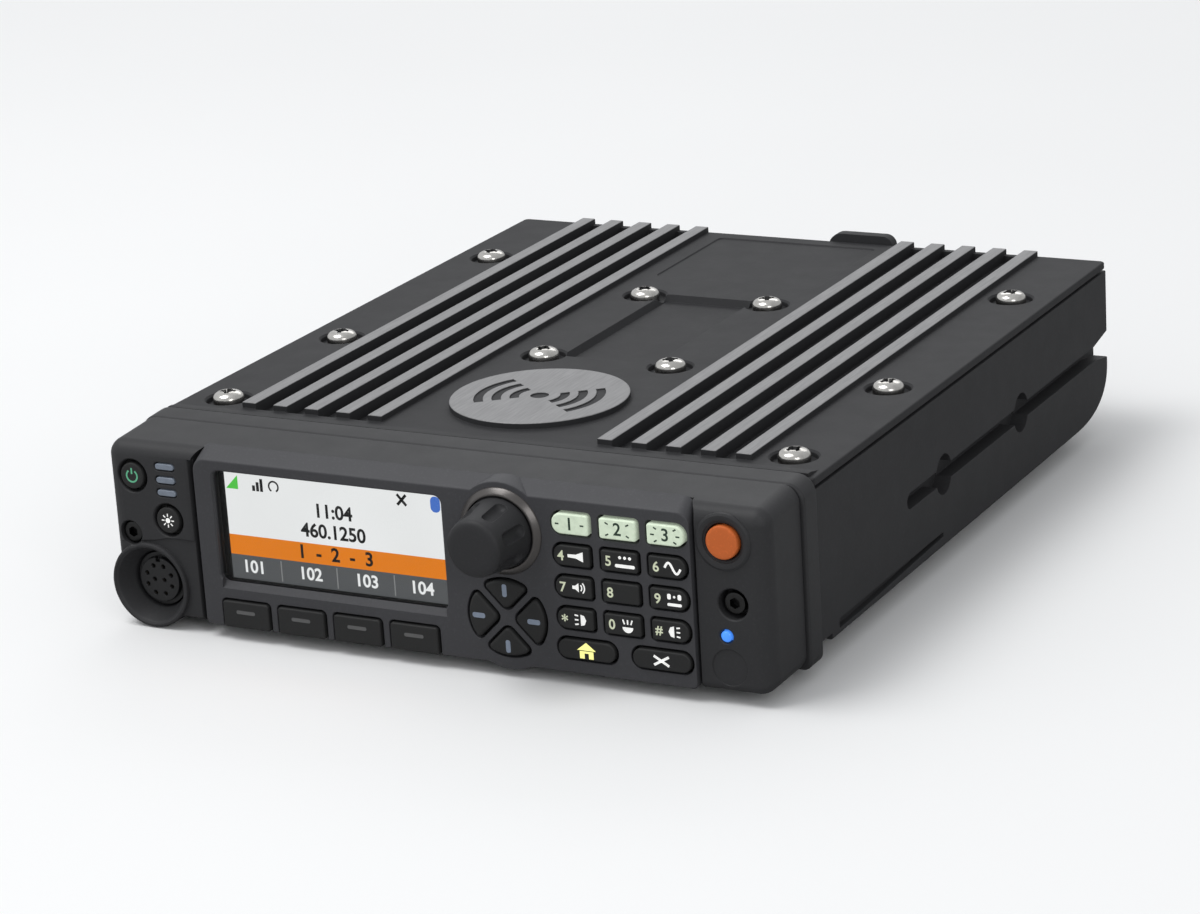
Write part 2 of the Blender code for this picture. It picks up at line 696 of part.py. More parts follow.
def bezel_outline(top):
    """Front outline: a rectangle that bulges round the knob above and the direction pad below."""
    low_left = arc_at((BEZEL_LEFT, BEZEL_BOTTOM), (BEZEL_LEFT, 0), (0, BEZEL_BOTTOM), 1.0, 2)
    low_right = arc_at((BEZEL_RIGHT, BEZEL_BOTTOM), (0, BEZEL_BOTTOM), (BEZEL_RIGHT, 0), 1.0, 2)
    up_right = arc_at((BEZEL_RIGHT, top), (BEZEL_RIGHT, 0), (0, top), 3.0, 3)
    up_left = arc_at((BEZEL_LEFT, top), (0, top), (BEZEL_LEFT, 0), 3.0, 3)
    below = bump(BEZEL_BOTTOM, PAD, PAD_BULGE_RADIUS, -1)
    above = bump(top, KNOB, max(KNOB_BULGE_RADIUS, top - KNOB[1] + 0.5), 1)
    return low_left + below + low_right + up_right + above[::-1] + up_left


def rectangular_keys(grow):
    """Each rectangular key's name and outline, grown on every side to make its opening."""
    keys = {}
    for row, z in zip(KEY_NAMES, KEY_ROWS):
        for i, (name, x) in enumerate(zip(row, KEY_COLUMNS)):
            left = (KEY_ROUND_END if i == 0 else KEY_CORNER) + grow
            right = (KEY_ROUND_END if i == 2 else KEY_CORNER) + grow
            size = (KEY_WIDTH + 2 * grow, KEY_HEIGHT + 2 * grow)
            keys[f"key_{name}"] = rounded_rectangle((x, z), *size, (left, right, right, left))
    for name, x in WIDE_KEYS:
        size = (WIDE_KEY_WIDTH + 2 * grow, WIDE_KEY_HEIGHT + 2 * grow)
        keys[f"key_{name}"] = rounded_rectangle((x, WIDE_KEY_Z), *size, [KEY_ROUND_END + grow] * 4)
    return keys


def petal(along, across, grow):
    """One petal about the origin, pointing along +u, between two webs that cross at a right angle."""
    along, across, web = along + grow, across + grow, PAD_HALF_WEB - grow
    offset = web * math.sqrt(2)
    slope = 1 / along**2 + 1 / across**2
    shift = offset / along**2
    edge = math.asin((math.sqrt(shift**2 - slope * (shift * offset - 1)) - shift) / slope / across)
    corners = [(offset, 0.0)]
    radii = [1.4 + grow]
    for part in (-1, -0.45, 0, 0.45, 1):
        turn = edge * part
        corners.append((along * math.cos(turn), across * math.sin(turn)))
        radii.append(1.3 + grow if abs(part) == 1 else 0)
    return rounded(corners, radii)


def pad_keys(grow):
    """The four petals of the direction pad: quarters of an ellipse held apart by an X-shaped web."""
    petals = {}
    for quarter, name in enumerate(("right", "up", "left", "down")):
        radii = (PAD_HALF_WIDTH, PAD_HALF_HEIGHT)
        along, across = radii if quarter % 2 == 0 else radii[::-1]
        spin = Matrix.Rotation(quarter * math.pi / 2, 2)
        outline = [spin @ Vector(point) for point in petal(along, across, grow)]
        petals[f"nav_{name}"] = [(PAD[0] + u, PAD[1] + v) for u, v in outline]
    return petals


def soft_keys(grow):
    """The four keys under the display, open at the bottom edge of the bezel."""
    keys = {}
    low = BEZEL_BOTTOM + 0.1 - 20 * grow
    for i in range(4):
        x = SOFT_KEY_X + SOFT_KEY_PITCH * i
        half = SOFT_KEY_WIDTH / 2 + grow
        corners = rectangle(x - half, low, x + half, SOFT_KEY_TOP + grow)
        keys[f"soft_key_{i + 1}"] = rounded(corners, (0.5, 0.5, 0.8, 0.8))
    return keys


def head_bezel():
    steps = ((BEZEL_FACE, BEZEL_TOP_FRONT), (BEZEL_REAR, BEZEL_TOP_REAR))
    body = skin([[(x, y, z) for x, z in bezel_outline(top)] for y, top in steps])
    bezel = add("head_bezel", body, BEZEL_PLASTIC)
    fuse(bezel, cylinder("Y", KNOB, KNOB_COLLAR_RADIUS, -120.6, BEZEL_FACE + 1.5, 32))
    cut(bezel, box((-60.2, BEZEL_WALL_REAR, 0.0), (67.3, BEZEL_REAR + 1, 37.6)))
    openings = list(rectangular_keys(KEY_GAP).values()) + list(pad_keys(KEY_GAP).values())
    centre = ((WINDOW_LEFT + WINDOW_RIGHT) / 2, (WINDOW_BOTTOM + WINDOW_TOP) / 2)
    size = (WINDOW_RIGHT - WINDOW_LEFT, WINDOW_TOP - WINDOW_BOTTOM)
    openings.append(rounded_rectangle(centre, *size, [1.2] * 4))
    cutters = [prism("Y", outline, -125, -114.9) for outline in openings]
    cutters += [prism("Y", outline, -125, SOFT_KEY_STOP) for outline in soft_keys(KEY_GAP).values()]
    floor = BEZEL_FACE + 0.1
    recess = ((KNOB_RECESS_RADIUS, -125), (KNOB_RECESS_RADIUS, floor), (3.8, floor), (3.8, -115))
    cutters.append(turned("Y", KNOB, recess, 32))
    cut(bezel, *cutters)
    drop = LEDGE_SLOPE * (LENS_FACE - BEZEL_FACE + 0.5)
    ledge = (
        (BEZEL_FACE - 0.5, WINDOW_BOTTOM - drop),
        (LENS_FACE, WINDOW_BOTTOM),
        (LENS_FACE, WINDOW_BOTTOM + 3),
        (BEZEL_FACE - 0.5, WINDOW_BOTTOM + 3),
    )
    cut(bezel, prism("X", ledge, WINDOW_LEFT + 0.5, WINDOW_RIGHT - 0.6))


def domed(outline, face, rear, inset=0.35):
    """A key body: straight sides, and a front edge that is drawn in a little towards its middle."""
    middle = sum((Vector(point) for point in outline), Vector((0, 0))) / len(outline)
    half_u = max(abs(u - middle.x) for u, v in outline)
    half_v = max(abs(v - middle.y) for u, v in outline)
    small = []
    for u, v in outline:
        away_u, away_v = u - middle.x, v - middle.y
        small.append((u - away_u * inset / half_u, v - away_v * inset / half_v))
    steps = ((outline, rear), (outline, face + inset), (small, face))
    return skin([[(u, y, v) for u, v in points] for points, y in steps])


def keys():
    for name, outline in rectangular_keys(0).items():
        finish = LIT_KEY if name in ("key_1", "key_2", "key_3") else KEY_RUBBER
        add_key(name, outline, finish)
    for name, outline in (pad_keys(0) | soft_keys(0)).items():
        add_key(name, outline, KEY_RUBBER)


def add_key(name, outline, finish):
    middle_x = sum(u for u, v in outline) / len(outline)
    middle_z = sum(v for u, v in outline) / len(outline)
    add(name, domed(outline, KEY_FACE, KEY_REAR), finish, (middle_x, KEY_FACE, middle_z))


def wing_buttons():
    buttons = (
        ("power_button", POWER_BUTTON, -118.4, 1.3, KEY_RUBBER),
        ("dimmer_button", DIMMER_BUTTON, -118.4, 1.3, KEY_RUBBER),
        ("emergency_button", EMERGENCY_BUTTON, -119.2, 0.7, ((0.55, 0.14, 0.04), 0.5, 0.0)),
    )
    for name, (x, z, radius), face, lip, finish in buttons:
        profile = (
            (radius - 0.4, face),
            (radius, face + 0.4),
            (radius, WING_WALL + 0.5),
            (radius + lip, WING_WALL + 0.5),
            (radius + lip, WING_WALL + 1.6),
        )
        add(name, turned("Y", (x, z), profile, 20), finish, (x, face, z))


def head_fittings():
    width, height = LIGHT_BAR_SIZE
    half = width / 2 - 0.3
    low, high = (LIGHT_BARS_X - half, -115.3, 28.6), (LIGHT_BARS_X + half, -114.3, 37.0)
    plate = box(low, high)
    pipe = add("status_light_pipe", plate, ((0.20, 0.24, 0.29), 0.3, 0.0))
    outlines = [rounded_rectangle((LIGHT_BARS_X, z), width, height, [0.5] * 4) for z in LIGHT_BARS_Z]
    fuse(pipe, *[prism("Y", outline, WING_FACE - 0.1, -115.0) for outline in outlines])
    x, z, radius = INDICATOR
    lamp = ((radius - 0.4, -118.6), (radius, -118.3), (radius, -115.3), (2.2, -115.3), (2.2, -114.3))
    add("indicator_lens", turned("Y", (x, z), lamp, 16), ((0.08, 0.32, 1.0), 0.3, 0.0))
    for name, (x, z, _) in zip(("head_screw_left", "head_screw_right"), head_screw_places()):
        profile = (
            (1.4, -115.3),
            (1.4, -117.2),
            (2.2, -117.2),
            (HEAD_SCREW_RADIUS, -116.9),
            (HEAD_SCREW_RADIUS, HEAD_SCREW_SEAT - GAP),
            (HEAD_SCREW_SHANK, HEAD_SCREW_SEAT - GAP),
            (HEAD_SCREW_SHANK, -96.8),
        )
        add(name, turned("Y", (x, z), profile, 12), ((0.03, 0.03, 0.03), 0.35, 0.8))
    x, z, _ = MICROPHONE
    radius, face = MICROPHONE_RADIUS, MICROPHONE_FACE
    insert = ((radius - 0.2, face), (radius, face + 0.2), (radius, -113.2), (6.8, -113.2), (6.8, -104.3))
    connector = add("microphone_connector", turned("Y", (x, z), insert, 24), KEY_RUBBER)
    pins = circle((x, z), CONTACT_RING, 8) + [(x - 1.4, z), (x + 1.4, z)]
    cut(connector, *[cylinder("Y", pin, 0.55, -117, -113.2, 6) for pin in pins])


def head_insides():
    half_width, middle_x = (WINDOW_RIGHT - WINDOW_LEFT) / 2, (WINDOW_RIGHT + WINDOW_LEFT) / 2
    half_height, middle_z = (WINDOW_TOP - WINDOW_BOTTOM) / 2, (WINDOW_TOP + WINDOW_BOTTOM) / 2
    size = (2 * (half_width - GAP), 2 * (half_height - GAP))
    glass = rounded_rectangle((middle_x, middle_z), *size, [0.9] * 4)
    add("display_lens", prism("Y", glass, LENS_FACE, LENS_REAR), ((0.75, 0.75, 0.75), 0.15, 0.0))
    module = box((-58.0, LENS_REAR + GAP, 8.0), (7.0, HEAD_BOARD_FRONT - GAP, 36.8))
    add("display_module", module, TIN)
    mat = ((-59.5, 0.4), (66.8, 0.4), (66.8, 37.2), (8.5, 37.2), (8.5, 7.4), (-59.5, 7.4))
    pad = add("keypad_mat", prism("Y", mat, MAT_FRONT, MAT_REAR), SILICONE)
    cut(pad, cylinder("Y", KNOB, 5.2, -117, -112, 16))
    board = ((-63.5, 1.0), (84.5, 1.0), (84.5, 37.0), (-84.5, 37.0), (-84.5, 21.5), (-63.5, 21.5))
    rear = HEAD_BOARD_FRONT + BOARD_THICKNESS
    head_board = add("head_board", prism("Y", board, HEAD_BOARD_FRONT, rear), CIRCUIT_BOARD)
    x, z, _ = RIGHT_HEAD_SCREW
    cut(head_board, cylinder("Y", (x, z), 2.2, -112, -107, 12))


def knob():
    """The encoder on the head board, the rotor that turns in it, and the knob on its sliding shaft."""
    x, z = KNOB
    block = box((x - 6.4, -113.2, z - 6.1), (x + 6.4, HEAD_BOARD_FRONT - GAP, z + 6.1))
    encoder = add("encoder_body", block, TIN)
    pocket = ((5.3, -115), (5.3, -111.4), (3.5, -111.4), (3.5, -109))
    cut(encoder, turned("Y", KNOB, pocket, 20))
    outer, inner = circle(KNOB, 5.0, 20), circle(KNOB, SHAFT_HOLE_RADIUS, 20)
    washer = frame("Y", outer, inner, -112.8, -111.8)
    add("encoder_rotor", washer, ((0.5, 0.4, 0.2), 0.4, 0.8), (x, -112.8, z))
    shaft = cylinder("Y", KNOB, SHAFT_RADIUS, SHAFT_TIP, SHAFT_END, 20)
    add("knob_shaft", shaft, SCREW_STEEL, (x, SHAFT_END, z))
    sections = (
        (KNOB_BASE_RADIUS, KNOB_BASE),
        (KNOB_BASE_RADIUS, KNOB_BASE - 1.6),
        (KNOB_TIP_RADIUS, KNOB_TIP + 1.5),
        (KNOB_TIP_RADIUS - 0.5, KNOB_TIP + 0.4),
        (KNOB_TIP_RADIUS - 1.3, KNOB_TIP),
    )
    cap = add("control_knob", turned("Y", KNOB, sections, 36), KEY_RUBBER, (x, KNOB_BASE, z))
    cut(cap, *[flute(FIRST_FLUTE + 2 * math.pi * i / KNOB_FLUTES) for i in range(KNOB_FLUTES)])
    cut(cap, cylinder("Y", KNOB, SHAFT_RADIUS + GAP, SHAFT_TIP - GAP, KNOB_BASE + 1, 20))


def knob_radius_at(y):
    """Radius of the knob's tapered grip."""
    grip_front, grip_rear = KNOB_TIP + 1.5, KNOB_BASE - 1.6
    taper = (KNOB_BASE_RADIUS - KNOB_TIP_RADIUS) / (grip_rear - grip_front)
    return KNOB_TIP_RADIUS + taper * (y - grip_front)


def flute(angle):
    """A slot with round ends that follows the taper of the grip."""
    front, rear = FLUTE_ENDS
    loops = []
    for y, radius in ((front, 0.6), (front + 0.9, 1.0), (rear - 0.9, 1.0), (rear, 0.6)):
        away = knob_radius_at(y) + FLUTE_RADIUS - FLUTE_DEPTH
        middle = (KNOB[0] + away * math.cos(angle), KNOB[1] + away * math.sin(angle))
        loops.append([(u, y, v) for u, v in circle(middle, radius * FLUTE_RADIUS, 12)])
    return skin(loops)


def clear_scene():
    for item in list(bpy.data.objects):
        bpy.data.objects.remove(item, do_unlink=True)


def main():
    clear_scene()
    chassis()
    cover_gasket()
    top_cover()
    cover_screws()
    electronics()
    rear_connectors()
    head_housing()
    head_back()
    head_bezel()
    head_insides()
    head_fittings()
    keys()
    wing_buttons()
    knob()


main()
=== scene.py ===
"""Finished surfaces and materials of the vehicle two-way radio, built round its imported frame.

Lengths are in millimetres until a mesh is made, which scales them to metres. X runs to the right as
seen from the front, Y from front to rear, Z up, and the origin is on the chassis underside.
"""

import math

import bmesh
import bpy
from mathutils import Matrix, Vector


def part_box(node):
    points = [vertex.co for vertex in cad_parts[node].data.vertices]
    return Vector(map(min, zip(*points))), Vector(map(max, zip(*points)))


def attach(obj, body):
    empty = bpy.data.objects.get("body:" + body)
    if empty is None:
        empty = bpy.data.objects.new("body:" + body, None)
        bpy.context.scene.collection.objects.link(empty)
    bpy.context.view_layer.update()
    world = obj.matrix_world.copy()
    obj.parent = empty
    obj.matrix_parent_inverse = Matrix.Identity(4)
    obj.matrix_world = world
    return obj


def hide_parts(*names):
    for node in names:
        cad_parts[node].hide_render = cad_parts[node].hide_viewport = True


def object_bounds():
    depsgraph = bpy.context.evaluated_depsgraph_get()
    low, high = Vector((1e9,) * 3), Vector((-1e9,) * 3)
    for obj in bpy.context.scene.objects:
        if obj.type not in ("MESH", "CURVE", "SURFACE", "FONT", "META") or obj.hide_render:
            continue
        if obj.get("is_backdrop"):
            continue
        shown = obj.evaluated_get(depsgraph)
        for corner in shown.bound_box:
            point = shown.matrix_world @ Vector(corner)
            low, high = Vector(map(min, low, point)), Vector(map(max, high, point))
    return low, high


UNIT = 0.001
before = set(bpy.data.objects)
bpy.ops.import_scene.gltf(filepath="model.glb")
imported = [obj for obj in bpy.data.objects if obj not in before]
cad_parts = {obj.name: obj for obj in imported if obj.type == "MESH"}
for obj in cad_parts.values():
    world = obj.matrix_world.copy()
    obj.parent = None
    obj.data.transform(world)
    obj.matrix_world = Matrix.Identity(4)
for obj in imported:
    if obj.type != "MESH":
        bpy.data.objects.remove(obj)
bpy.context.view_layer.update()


def node_box(name):
    """Lowest and highest corner of a frame node in millimetres."""
    return [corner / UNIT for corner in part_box(name)]


def middle(name):
    """Centre of a frame node across X and Z, in millimetres."""
    low, high = node_box(name)
    return ((low.x + high.x) / 2, (low.z + high.z) / 2)


def front_size(name):
    """Width and height of a frame node as seen from the front, in millimetres."""
    low, high = node_box(name)
    return high.x - low.x, high.z - low.z


# Places read from the frame
COVER_LOW, COVER_HIGH = node_box("top_cover")
BEZEL_LOW, BEZEL_HIGH = node_box("head_bezel")
HALF_WIDTH = COVER_HIGH.x
FRONT = node_box("chassis")[0].y
REAR = COVER_HIGH.y + 0.3
CHASSIS_TOP = COVER_LOW.z + 2.2
FIN_TOP = COVER_HIGH.z
KNOB = middle("knob_shaft")
PAD = tuple((a + b) / 2 for a, b in zip(middle("nav_left"), middle("nav_right")))
WING_FACE = node_box("head_housing")[0].y + 0.7
ANTENNA = middle("antenna_connector")
MICROPHONE = middle("microphone_connector")

# Sizes that the frame's boxes don't give
SIDE_WALL = 8.0
END_WALL = 5.0
FLOOR = 4.0
TAIL = (24.0, 13.0, 2.4)
GROOVE_Z = 18.05
GROOVE_HEIGHT = 4.1
GROOVE_DEPTH = 4.0
GROOVE_START = -41.4
GROOVE_LOBES = ((-18.7, 9.8, 10.3), (32.3, 9.8, 10.3))
PLATE_TOP = 41.1
FIN_FRONT = -85.2
FIN_PITCH = 8.97
FIN_WIDTH = 3.9
FIRST_FIN = 29.3
FIN_VALLEY = 39.4
PATTERN_X = -0.2
BADGE = (PATTERN_X, -59.2)
BADGE_RADIUS = 22.1
SCREW_SEAT = 39.5
HEAD_TOP = 42.6
HEAD_SLOPE = 0.06
HEAD_BOTTOM = -2.4
COLLAR_REAR = -93.8
COLLAR_FRONT = -100.6
BEZEL_FACE = -119.2
BEZEL_REAR = -113.9
WALL_BACK = -116.9
KEY_FACE = -119.8
WELL_REAR = -114.9
FLANGE_FRONT = -115.3
HEAD_SCREWS = ("head_screw_left", "head_screw_right")
DIGIT_SHARE = 0.69


# Mesh helpers


def point_on(axis, u, v, along):
    """A section point (u, v), placed at a distance along the X, Y or Z axis."""
    if axis == "X":
        return (along, u, v)
    if axis == "Y":
        return (u, along, v)
    return (u, v, along)


def skin(loops, ring=False):
    """A closed mesh through loops of equally many points, capped, or joined end to end as a ring."""
    mesh = bmesh.new()
    rows = [[mesh.verts.new(Vector(point) * UNIT) for point in loop] for loop in loops]
    pairs = list(zip(rows, rows[1:]))
    if ring:
        pairs.append((rows[-1], rows[0]))
    else:
        mesh.faces.new(rows[0])
        mesh.faces.new(rows[-1])
    for first, second in pairs:
        for i in range(len(first)):
            j = (i + 1) % len(first)
            mesh.faces.new((first[i], first[j], second[j], second[i]))
    bmesh.ops.recalc_face_normals(mesh, faces=mesh.faces)
    return mesh


def lofted(axis, steps):
    """A mesh through (outline, position) steps along an axis."""
    return skin([[point_on(axis, u, v, along) for u, v in outline] for outline, along in steps])


def prism(axis, outline, low, high):
    return lofted(axis, ((outline, low), (outline, high)))


def rectangle(low_u, low_v, high_u, high_v):
    return ((low_u, low_v), (high_u, low_v), (high_u, high_v), (low_u, high_v))


def box(low, high):
    return prism("Z", rectangle(low[0], low[1], high[0], high[1]), low[2], high[2])


def circle(centre, radius, segments=32):
    turns = [2 * math.pi * (i + 0.5) / segments for i in range(segments)]
    return [(centre[0] + radius * math.cos(a), centre[1] + radius * math.sin(a)) for a in turns]


def turned(axis, centre, profile, segments=48, ring=False):
    """A body of revolution from (radius, position) steps; as a ring, the profile closes on itself."""
    loops = []
    for radius, along in profile:
        loops.append([point_on(axis, u, v, along) for u, v in circle(centre, radius, segments)])
    return skin(loops, ring)


def arc_at(corner, before, after, radius, steps):
    """Points of the arc that rounds one corner, from the side of the point before to the one after."""
    here = Vector(corner)
    back = (Vector(before) - here).normalized()
    ahead = (Vector(after) - here).normalized()
    half_angle = back.angle(ahead) / 2
    centre = here + (back + ahead).normalized() * radius / math.sin(half_angle)
    start = here + back * radius / math.tan(half_angle) - centre
    turn = math.pi - 2 * half_angle
    if back.cross(ahead) > 0:
        turn = -turn
    return [tuple(centre + Matrix.Rotation(turn * i / steps, 2) @ start) for i in range(steps + 1)]


def rounded(corners, radii, steps=6):
    """An anticlockwise outline with each corner rounded by its own radius, or kept where that is zero."""
    outline = []
    for i, corner in enumerate(corners):
        if radii[i] == 0:
            outline.append(corner)
        else:
            after = corners[(i + 1) % len(corners)]
            outline += arc_at(corner, corners[i - 1], after, radii[i], steps)
    return outline


def rounded_rectangle(centre, width, height, radii, steps=6):
    """Radii are for the lower left, lower right, upper right and upper left corners, or one for all."""
    if not isinstance(radii, tuple):
        radii = (radii,) * 4
    u, v = centre
    corners = rectangle(u - width / 2, v - height / 2, u + width / 2, v + height / 2)
    return rounded(corners, radii, steps)


def inset(outline, distance):
    """An anticlockwise outline drawn in by a distance, or let out where that is negative."""
    drawn = []
    for i, here in enumerate(outline):
        here = Vector(here)
        before = (here - Vector(outline[i - 1])).normalized()
        after = (Vector(outline[(i + 1) % len(outline)]) - here).normalized()
        inward = Vector((-before.y - after.y, before.x + after.x)).normalized()
        share = max(inward.dot(Vector((-before.y, before.x))), 0.5)
        drawn.append(tuple(here + inward * distance / share))
    return drawn


def soft_steps(outline, end, rear, radius, steps=3):
    """Loft steps from the plane rear to the plane end, where the edge is rounded by a radius."""
    way = 1 if rear > end else -1
    found = []
    for i in range(steps + 1):
        turn = math.pi / 2 * i / steps
        drawn = inset(outline, radius * (1 - math.sin(turn)))
        found.append((drawn, end + way * radius * (1 - math.cos(turn))))
    return found + [(outline, rear)]


def soft_prism(axis, outline, end, rear, radius, steps=3):
    """A prism whose edge at one end is rounded."""
    return lofted(axis, soft_steps(outline, end, rear, radius, steps))


def flared(axis, outline, face, depth, flare, overshoot=1.0):
    """A cutter for an opening whose mouth is chamfered; face and depth are planes along the axis."""
    way = 1 if depth > face else -1
    steps = (
        (inset(outline, -flare), face - way * overshoot),
        (inset(outline, -flare), face),
        (outline, face + way * flare),
        (outline, depth),
    )
    return lofted(axis, steps)


def joined(meshes):
    """Several separate meshes in one, which keep their material numbers."""
    whole = bmesh.new()
    for mesh in meshes:
        copied = {vertex: whole.verts.new(vertex.co) for vertex in mesh.verts}
        for face in mesh.faces:
            made = whole.faces.new([copied[vertex] for vertex in face.verts])
            made.material_index = face.material_index
        mesh.free()
    return whole


def placed(name, data):
    """A new object in the scene."""
    item = bpy.data.objects.new(name, data)
    bpy.context.scene.collection.objects.link(item)
    return item


def final_mesh(item):
    """The mesh of an object after its modifiers; the object itself is removed."""
    bpy.context.view_layer.update()
    graph = bpy.context.evaluated_depsgraph_get()
    mesh = bmesh.new()
    mesh.from_mesh(item.evaluated_get(graph).to_mesh())
    bpy.data.objects.remove(item)
    return mesh


def numbered(mesh, index):
    """The mesh with all its faces given one material number."""
    for face in mesh.faces:
        face.material_index = index
    return mesh


def hidden(mesh):
    data = bpy.data.meshes.new("tool")
    mesh.to_mesh(data)
    mesh.free()
    return placed("tool", data)


def cut(*tools):
    """A Boolean step that takes separate meshes away."""
    return ("DIFFERENCE", tools)


def add(*tools):
    """A Boolean step that joins separate meshes on."""
    return ("UNION", tools)


def worked(mesh, *steps):
    """The mesh after Boolean steps, each an operation and its separate tool meshes."""
    base = hidden(mesh)
    tools = []
    for operation, meshes in steps:
        tool = hidden(joined(meshes))
        modifier = base.modifiers.new(operation, "BOOLEAN")
        modifier.operation = operation
        modifier.object = tool
        tools.append(tool)
    result = final_mesh(base)
    bmesh.ops.remove_doubles(result, verts=result.verts, dist=1e-7)
    for tool in tools:
        bpy.data.objects.remove(tool)
    return result


def glyphs(text, centre, height, face, rise, weight):
    """Digits that stand a little proud of a plane facing the front, centred on an (x, z) point."""
    curve = bpy.data.curves.new("glyphs", "FONT")
    curve.body = text
    curve.size = height / DIGIT_SHARE * UNIT
    curve.offset = weight * UNIT
    curve.extrude = rise * UNIT
    curve.align_x = "CENTER"
    curve.align_y = "CENTER"
    mesh = final_mesh(placed("glyphs", curve))
    bmesh.ops.remove_doubles(mesh, verts=mesh.verts, dist=2e-7)
    place = Matrix.Translation(Vector((centre[0], face, centre[1])) * UNIT)
    bmesh.ops.transform(mesh, matrix=place @ Matrix.Rotation(math.pi / 2, 4, "X"), verts=mesh.verts)
    return mesh


def mark(outline, face, rise=0.03):
    """A thin printed shape on a plane facing the front, from an anticlockwise (x, z) outline."""
    return prism("Y", outline, face - rise, face + 0.05)


def stroke(points, width, face, rise=0.03):
    """A printed line of a given width through (x, z) points."""
    left, right = [], []
    for i, point in enumerate(points):
        before = Vector(points[max(i - 1, 0)])
        after = Vector(points[min(i + 1, len(points) - 1)])
        along = (after - before).normalized() * width / 2
        left.append((point[0] - along.y, point[1] + along.x))
        right.append((point[0] + along.y, point[1] - along.x))
    return mark(right + left[::-1], face, rise)


def arc_points(centre, radius, start, end, steps=12):
    """Points on an arc between two angles in degrees."""
    turns = [math.radians(start + (end - start) * i / steps) for i in range(steps + 1)]
    return [(centre[0] + radius * math.cos(a), centre[1] + radius * math.sin(a)) for a in turns]


def shifted(points, place):
    """Points moved by an (x, z) step."""
    return [(place[0] + u, place[1] + v) for u, v in points]


def piece(name, node, slot, mesh, *finishes, body="radio", angle=35, weighted=True):
    """A finished piece that rides on a body of the frame and stands for one of its nodes."""
    data = bpy.data.meshes.new(name)
    mesh.to_mesh(data)
    mesh.free()
    data.shade_smooth()
    data.set_sharp_from_angle(angle=math.radians(angle))
    for finish in finishes:
        data.materials.append(finish)
    item = placed(name, data)
    if weighted:
        modifier = item.modifiers.new("even shading", "WEIGHTED_NORMAL")
        modifier.keep_sharp = True
    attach(item, body)
    if node:
        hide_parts(node)


# Materials


class Nodes:
    """A short way to make a material's nodes."""

    def __init__(self, name, material=None):
        self.material = material or bpy.data.materials.new(name)
        self.material.use_nodes = True
        self.tree = self.material.node_tree
        self.shader = self.tree.nodes["Principled BSDF"]
        self.place = self.add("ShaderNodeTexCoord").outputs["Object"]

    def add(self, kind, inputs=(), **settings):
        node = self.tree.nodes.new(kind)
        for key, value in settings.items():
            setattr(node, key, value)
        for key, value in dict(inputs).items():
            self.put(node, key, value)
        return node

    def put(self, node, key, value):
        if hasattr(value, "is_linked"):
            self.tree.links.new(value, node.inputs[key])
        else:
            node.inputs[key].default_value = value

    def finish(self, inputs):
        """The material, once these inputs of its shader are filled."""
        for key, value in inputs.items():
            self.put(self.shader, key, value)
        return self.material

    def noise(self, scale, detail=3.0, roughness=0.55, stretch=None):
        place = self.place
        if stretch:
            place = self.add("ShaderNodeMapping", {"Vector": place, "Scale": stretch}).outputs[0]
        inputs = {"Vector": place, "Scale": scale, "Detail": detail, "Roughness": roughness}
        return self.add("ShaderNodeTexNoise", inputs).outputs["Fac"]

    def span(self, value, low, high, start=0.0, end=1.0):
        inputs = {"Value": value, "From Min": low, "From Max": high, "To Min": start, "To Max": end}
        return self.add("ShaderNodeMapRange", inputs).outputs["Result"]

    def maths(self, operation, first, second):
        return self.add("ShaderNodeMath", {0: first, 1: second}, operation=operation).outputs[0]

    def mix(self, share, first, second):
        return self.add("ShaderNodeMix", {0: share, 6: first, 7: second}, data_type="RGBA").outputs[2]

    def soft_edge(self, radius, samples):
        return self.add("ShaderNodeBevel", {"Radius": radius * UNIT}, samples=samples).outputs[0]

    def bump(self, height, strength, distance, normal):
        inputs = {"Strength": strength, "Distance": distance * UNIT, "Height": height, "Normal": normal}
        return self.add("ShaderNodeBump", inputs).outputs[0]


def rgb(colour, gain=1.0):
    return tuple(min(channel * gain, 1.0) for channel in colour) + (1.0,)


def coated(name, colour, roughness, grain, edge_wear_and_highlight, metallic=0.0, specular=0.5, edge=0.25, pits=0.0):
    """Moulded plastic, rubber or a coat of paint: fine grain, uneven tone, and edges painted lighter, partly
    as wear and partly as a painted highlight.
    """
    nodes = Nodes(name)
    scale, depth = grain
    soft_edge = nodes.soft_edge(edge, 6)
    flat = nodes.add("ShaderNodeNewGeometry").outputs["Normal"]
    facing = nodes.add("ShaderNodeVectorMath", {0: soft_edge, 1: flat}, operation="DOT_PRODUCT")
    # Mask of the edges painted lighter: partly wear, partly a painted highlight along rounded edges.
    worn_and_highlit = nodes.span(facing.outputs["Value"], 0.97, 0.75)
    patchy = nodes.span(nodes.noise(260, 5), 0.4, 0.65)
    worn_and_highlit = nodes.maths("MULTIPLY", nodes.maths("MULTIPLY", worn_and_highlit, patchy), edge_wear_and_highlight)
    clouds = nodes.span(nodes.noise(28, 4), 0.3, 0.7)
    tone = nodes.mix(clouds, rgb(colour, 0.95), rgb(colour, 1.05))
    flecks = nodes.span(nodes.noise(scale * 0.6, 2), 0.55, 0.75, 0.0, 0.35)
    tone = nodes.mix(flecks, tone, rgb(colour, 1.5))
    # Lighter edge colour, standing for wear and for a painted edge highlight.
    wear_and_highlight_colour = [channel * 2.2 + 0.03 for channel in colour]
    height = nodes.noise(scale, 2, 0.6)
    if pits:
        cells = nodes.add("ShaderNodeTexVoronoi", {"Vector": nodes.place, "Scale": scale * 0.4})
        height = nodes.maths("ADD", height, nodes.maths("MULTIPLY", cells.outputs["Distance"], pits))
    return nodes.finish({
        "Base Color": nodes.mix(worn_and_highlit, tone, rgb(wear_and_highlight_colour)),
        "Roughness": nodes.span(nodes.noise(140, 4), 0.3, 0.7, roughness - 0.025, roughness + 0.025),
        "Metallic": metallic,
        "Specular IOR Level": specular,
        "Normal": nodes.bump(height, depth, 0.05, soft_edge),
    })


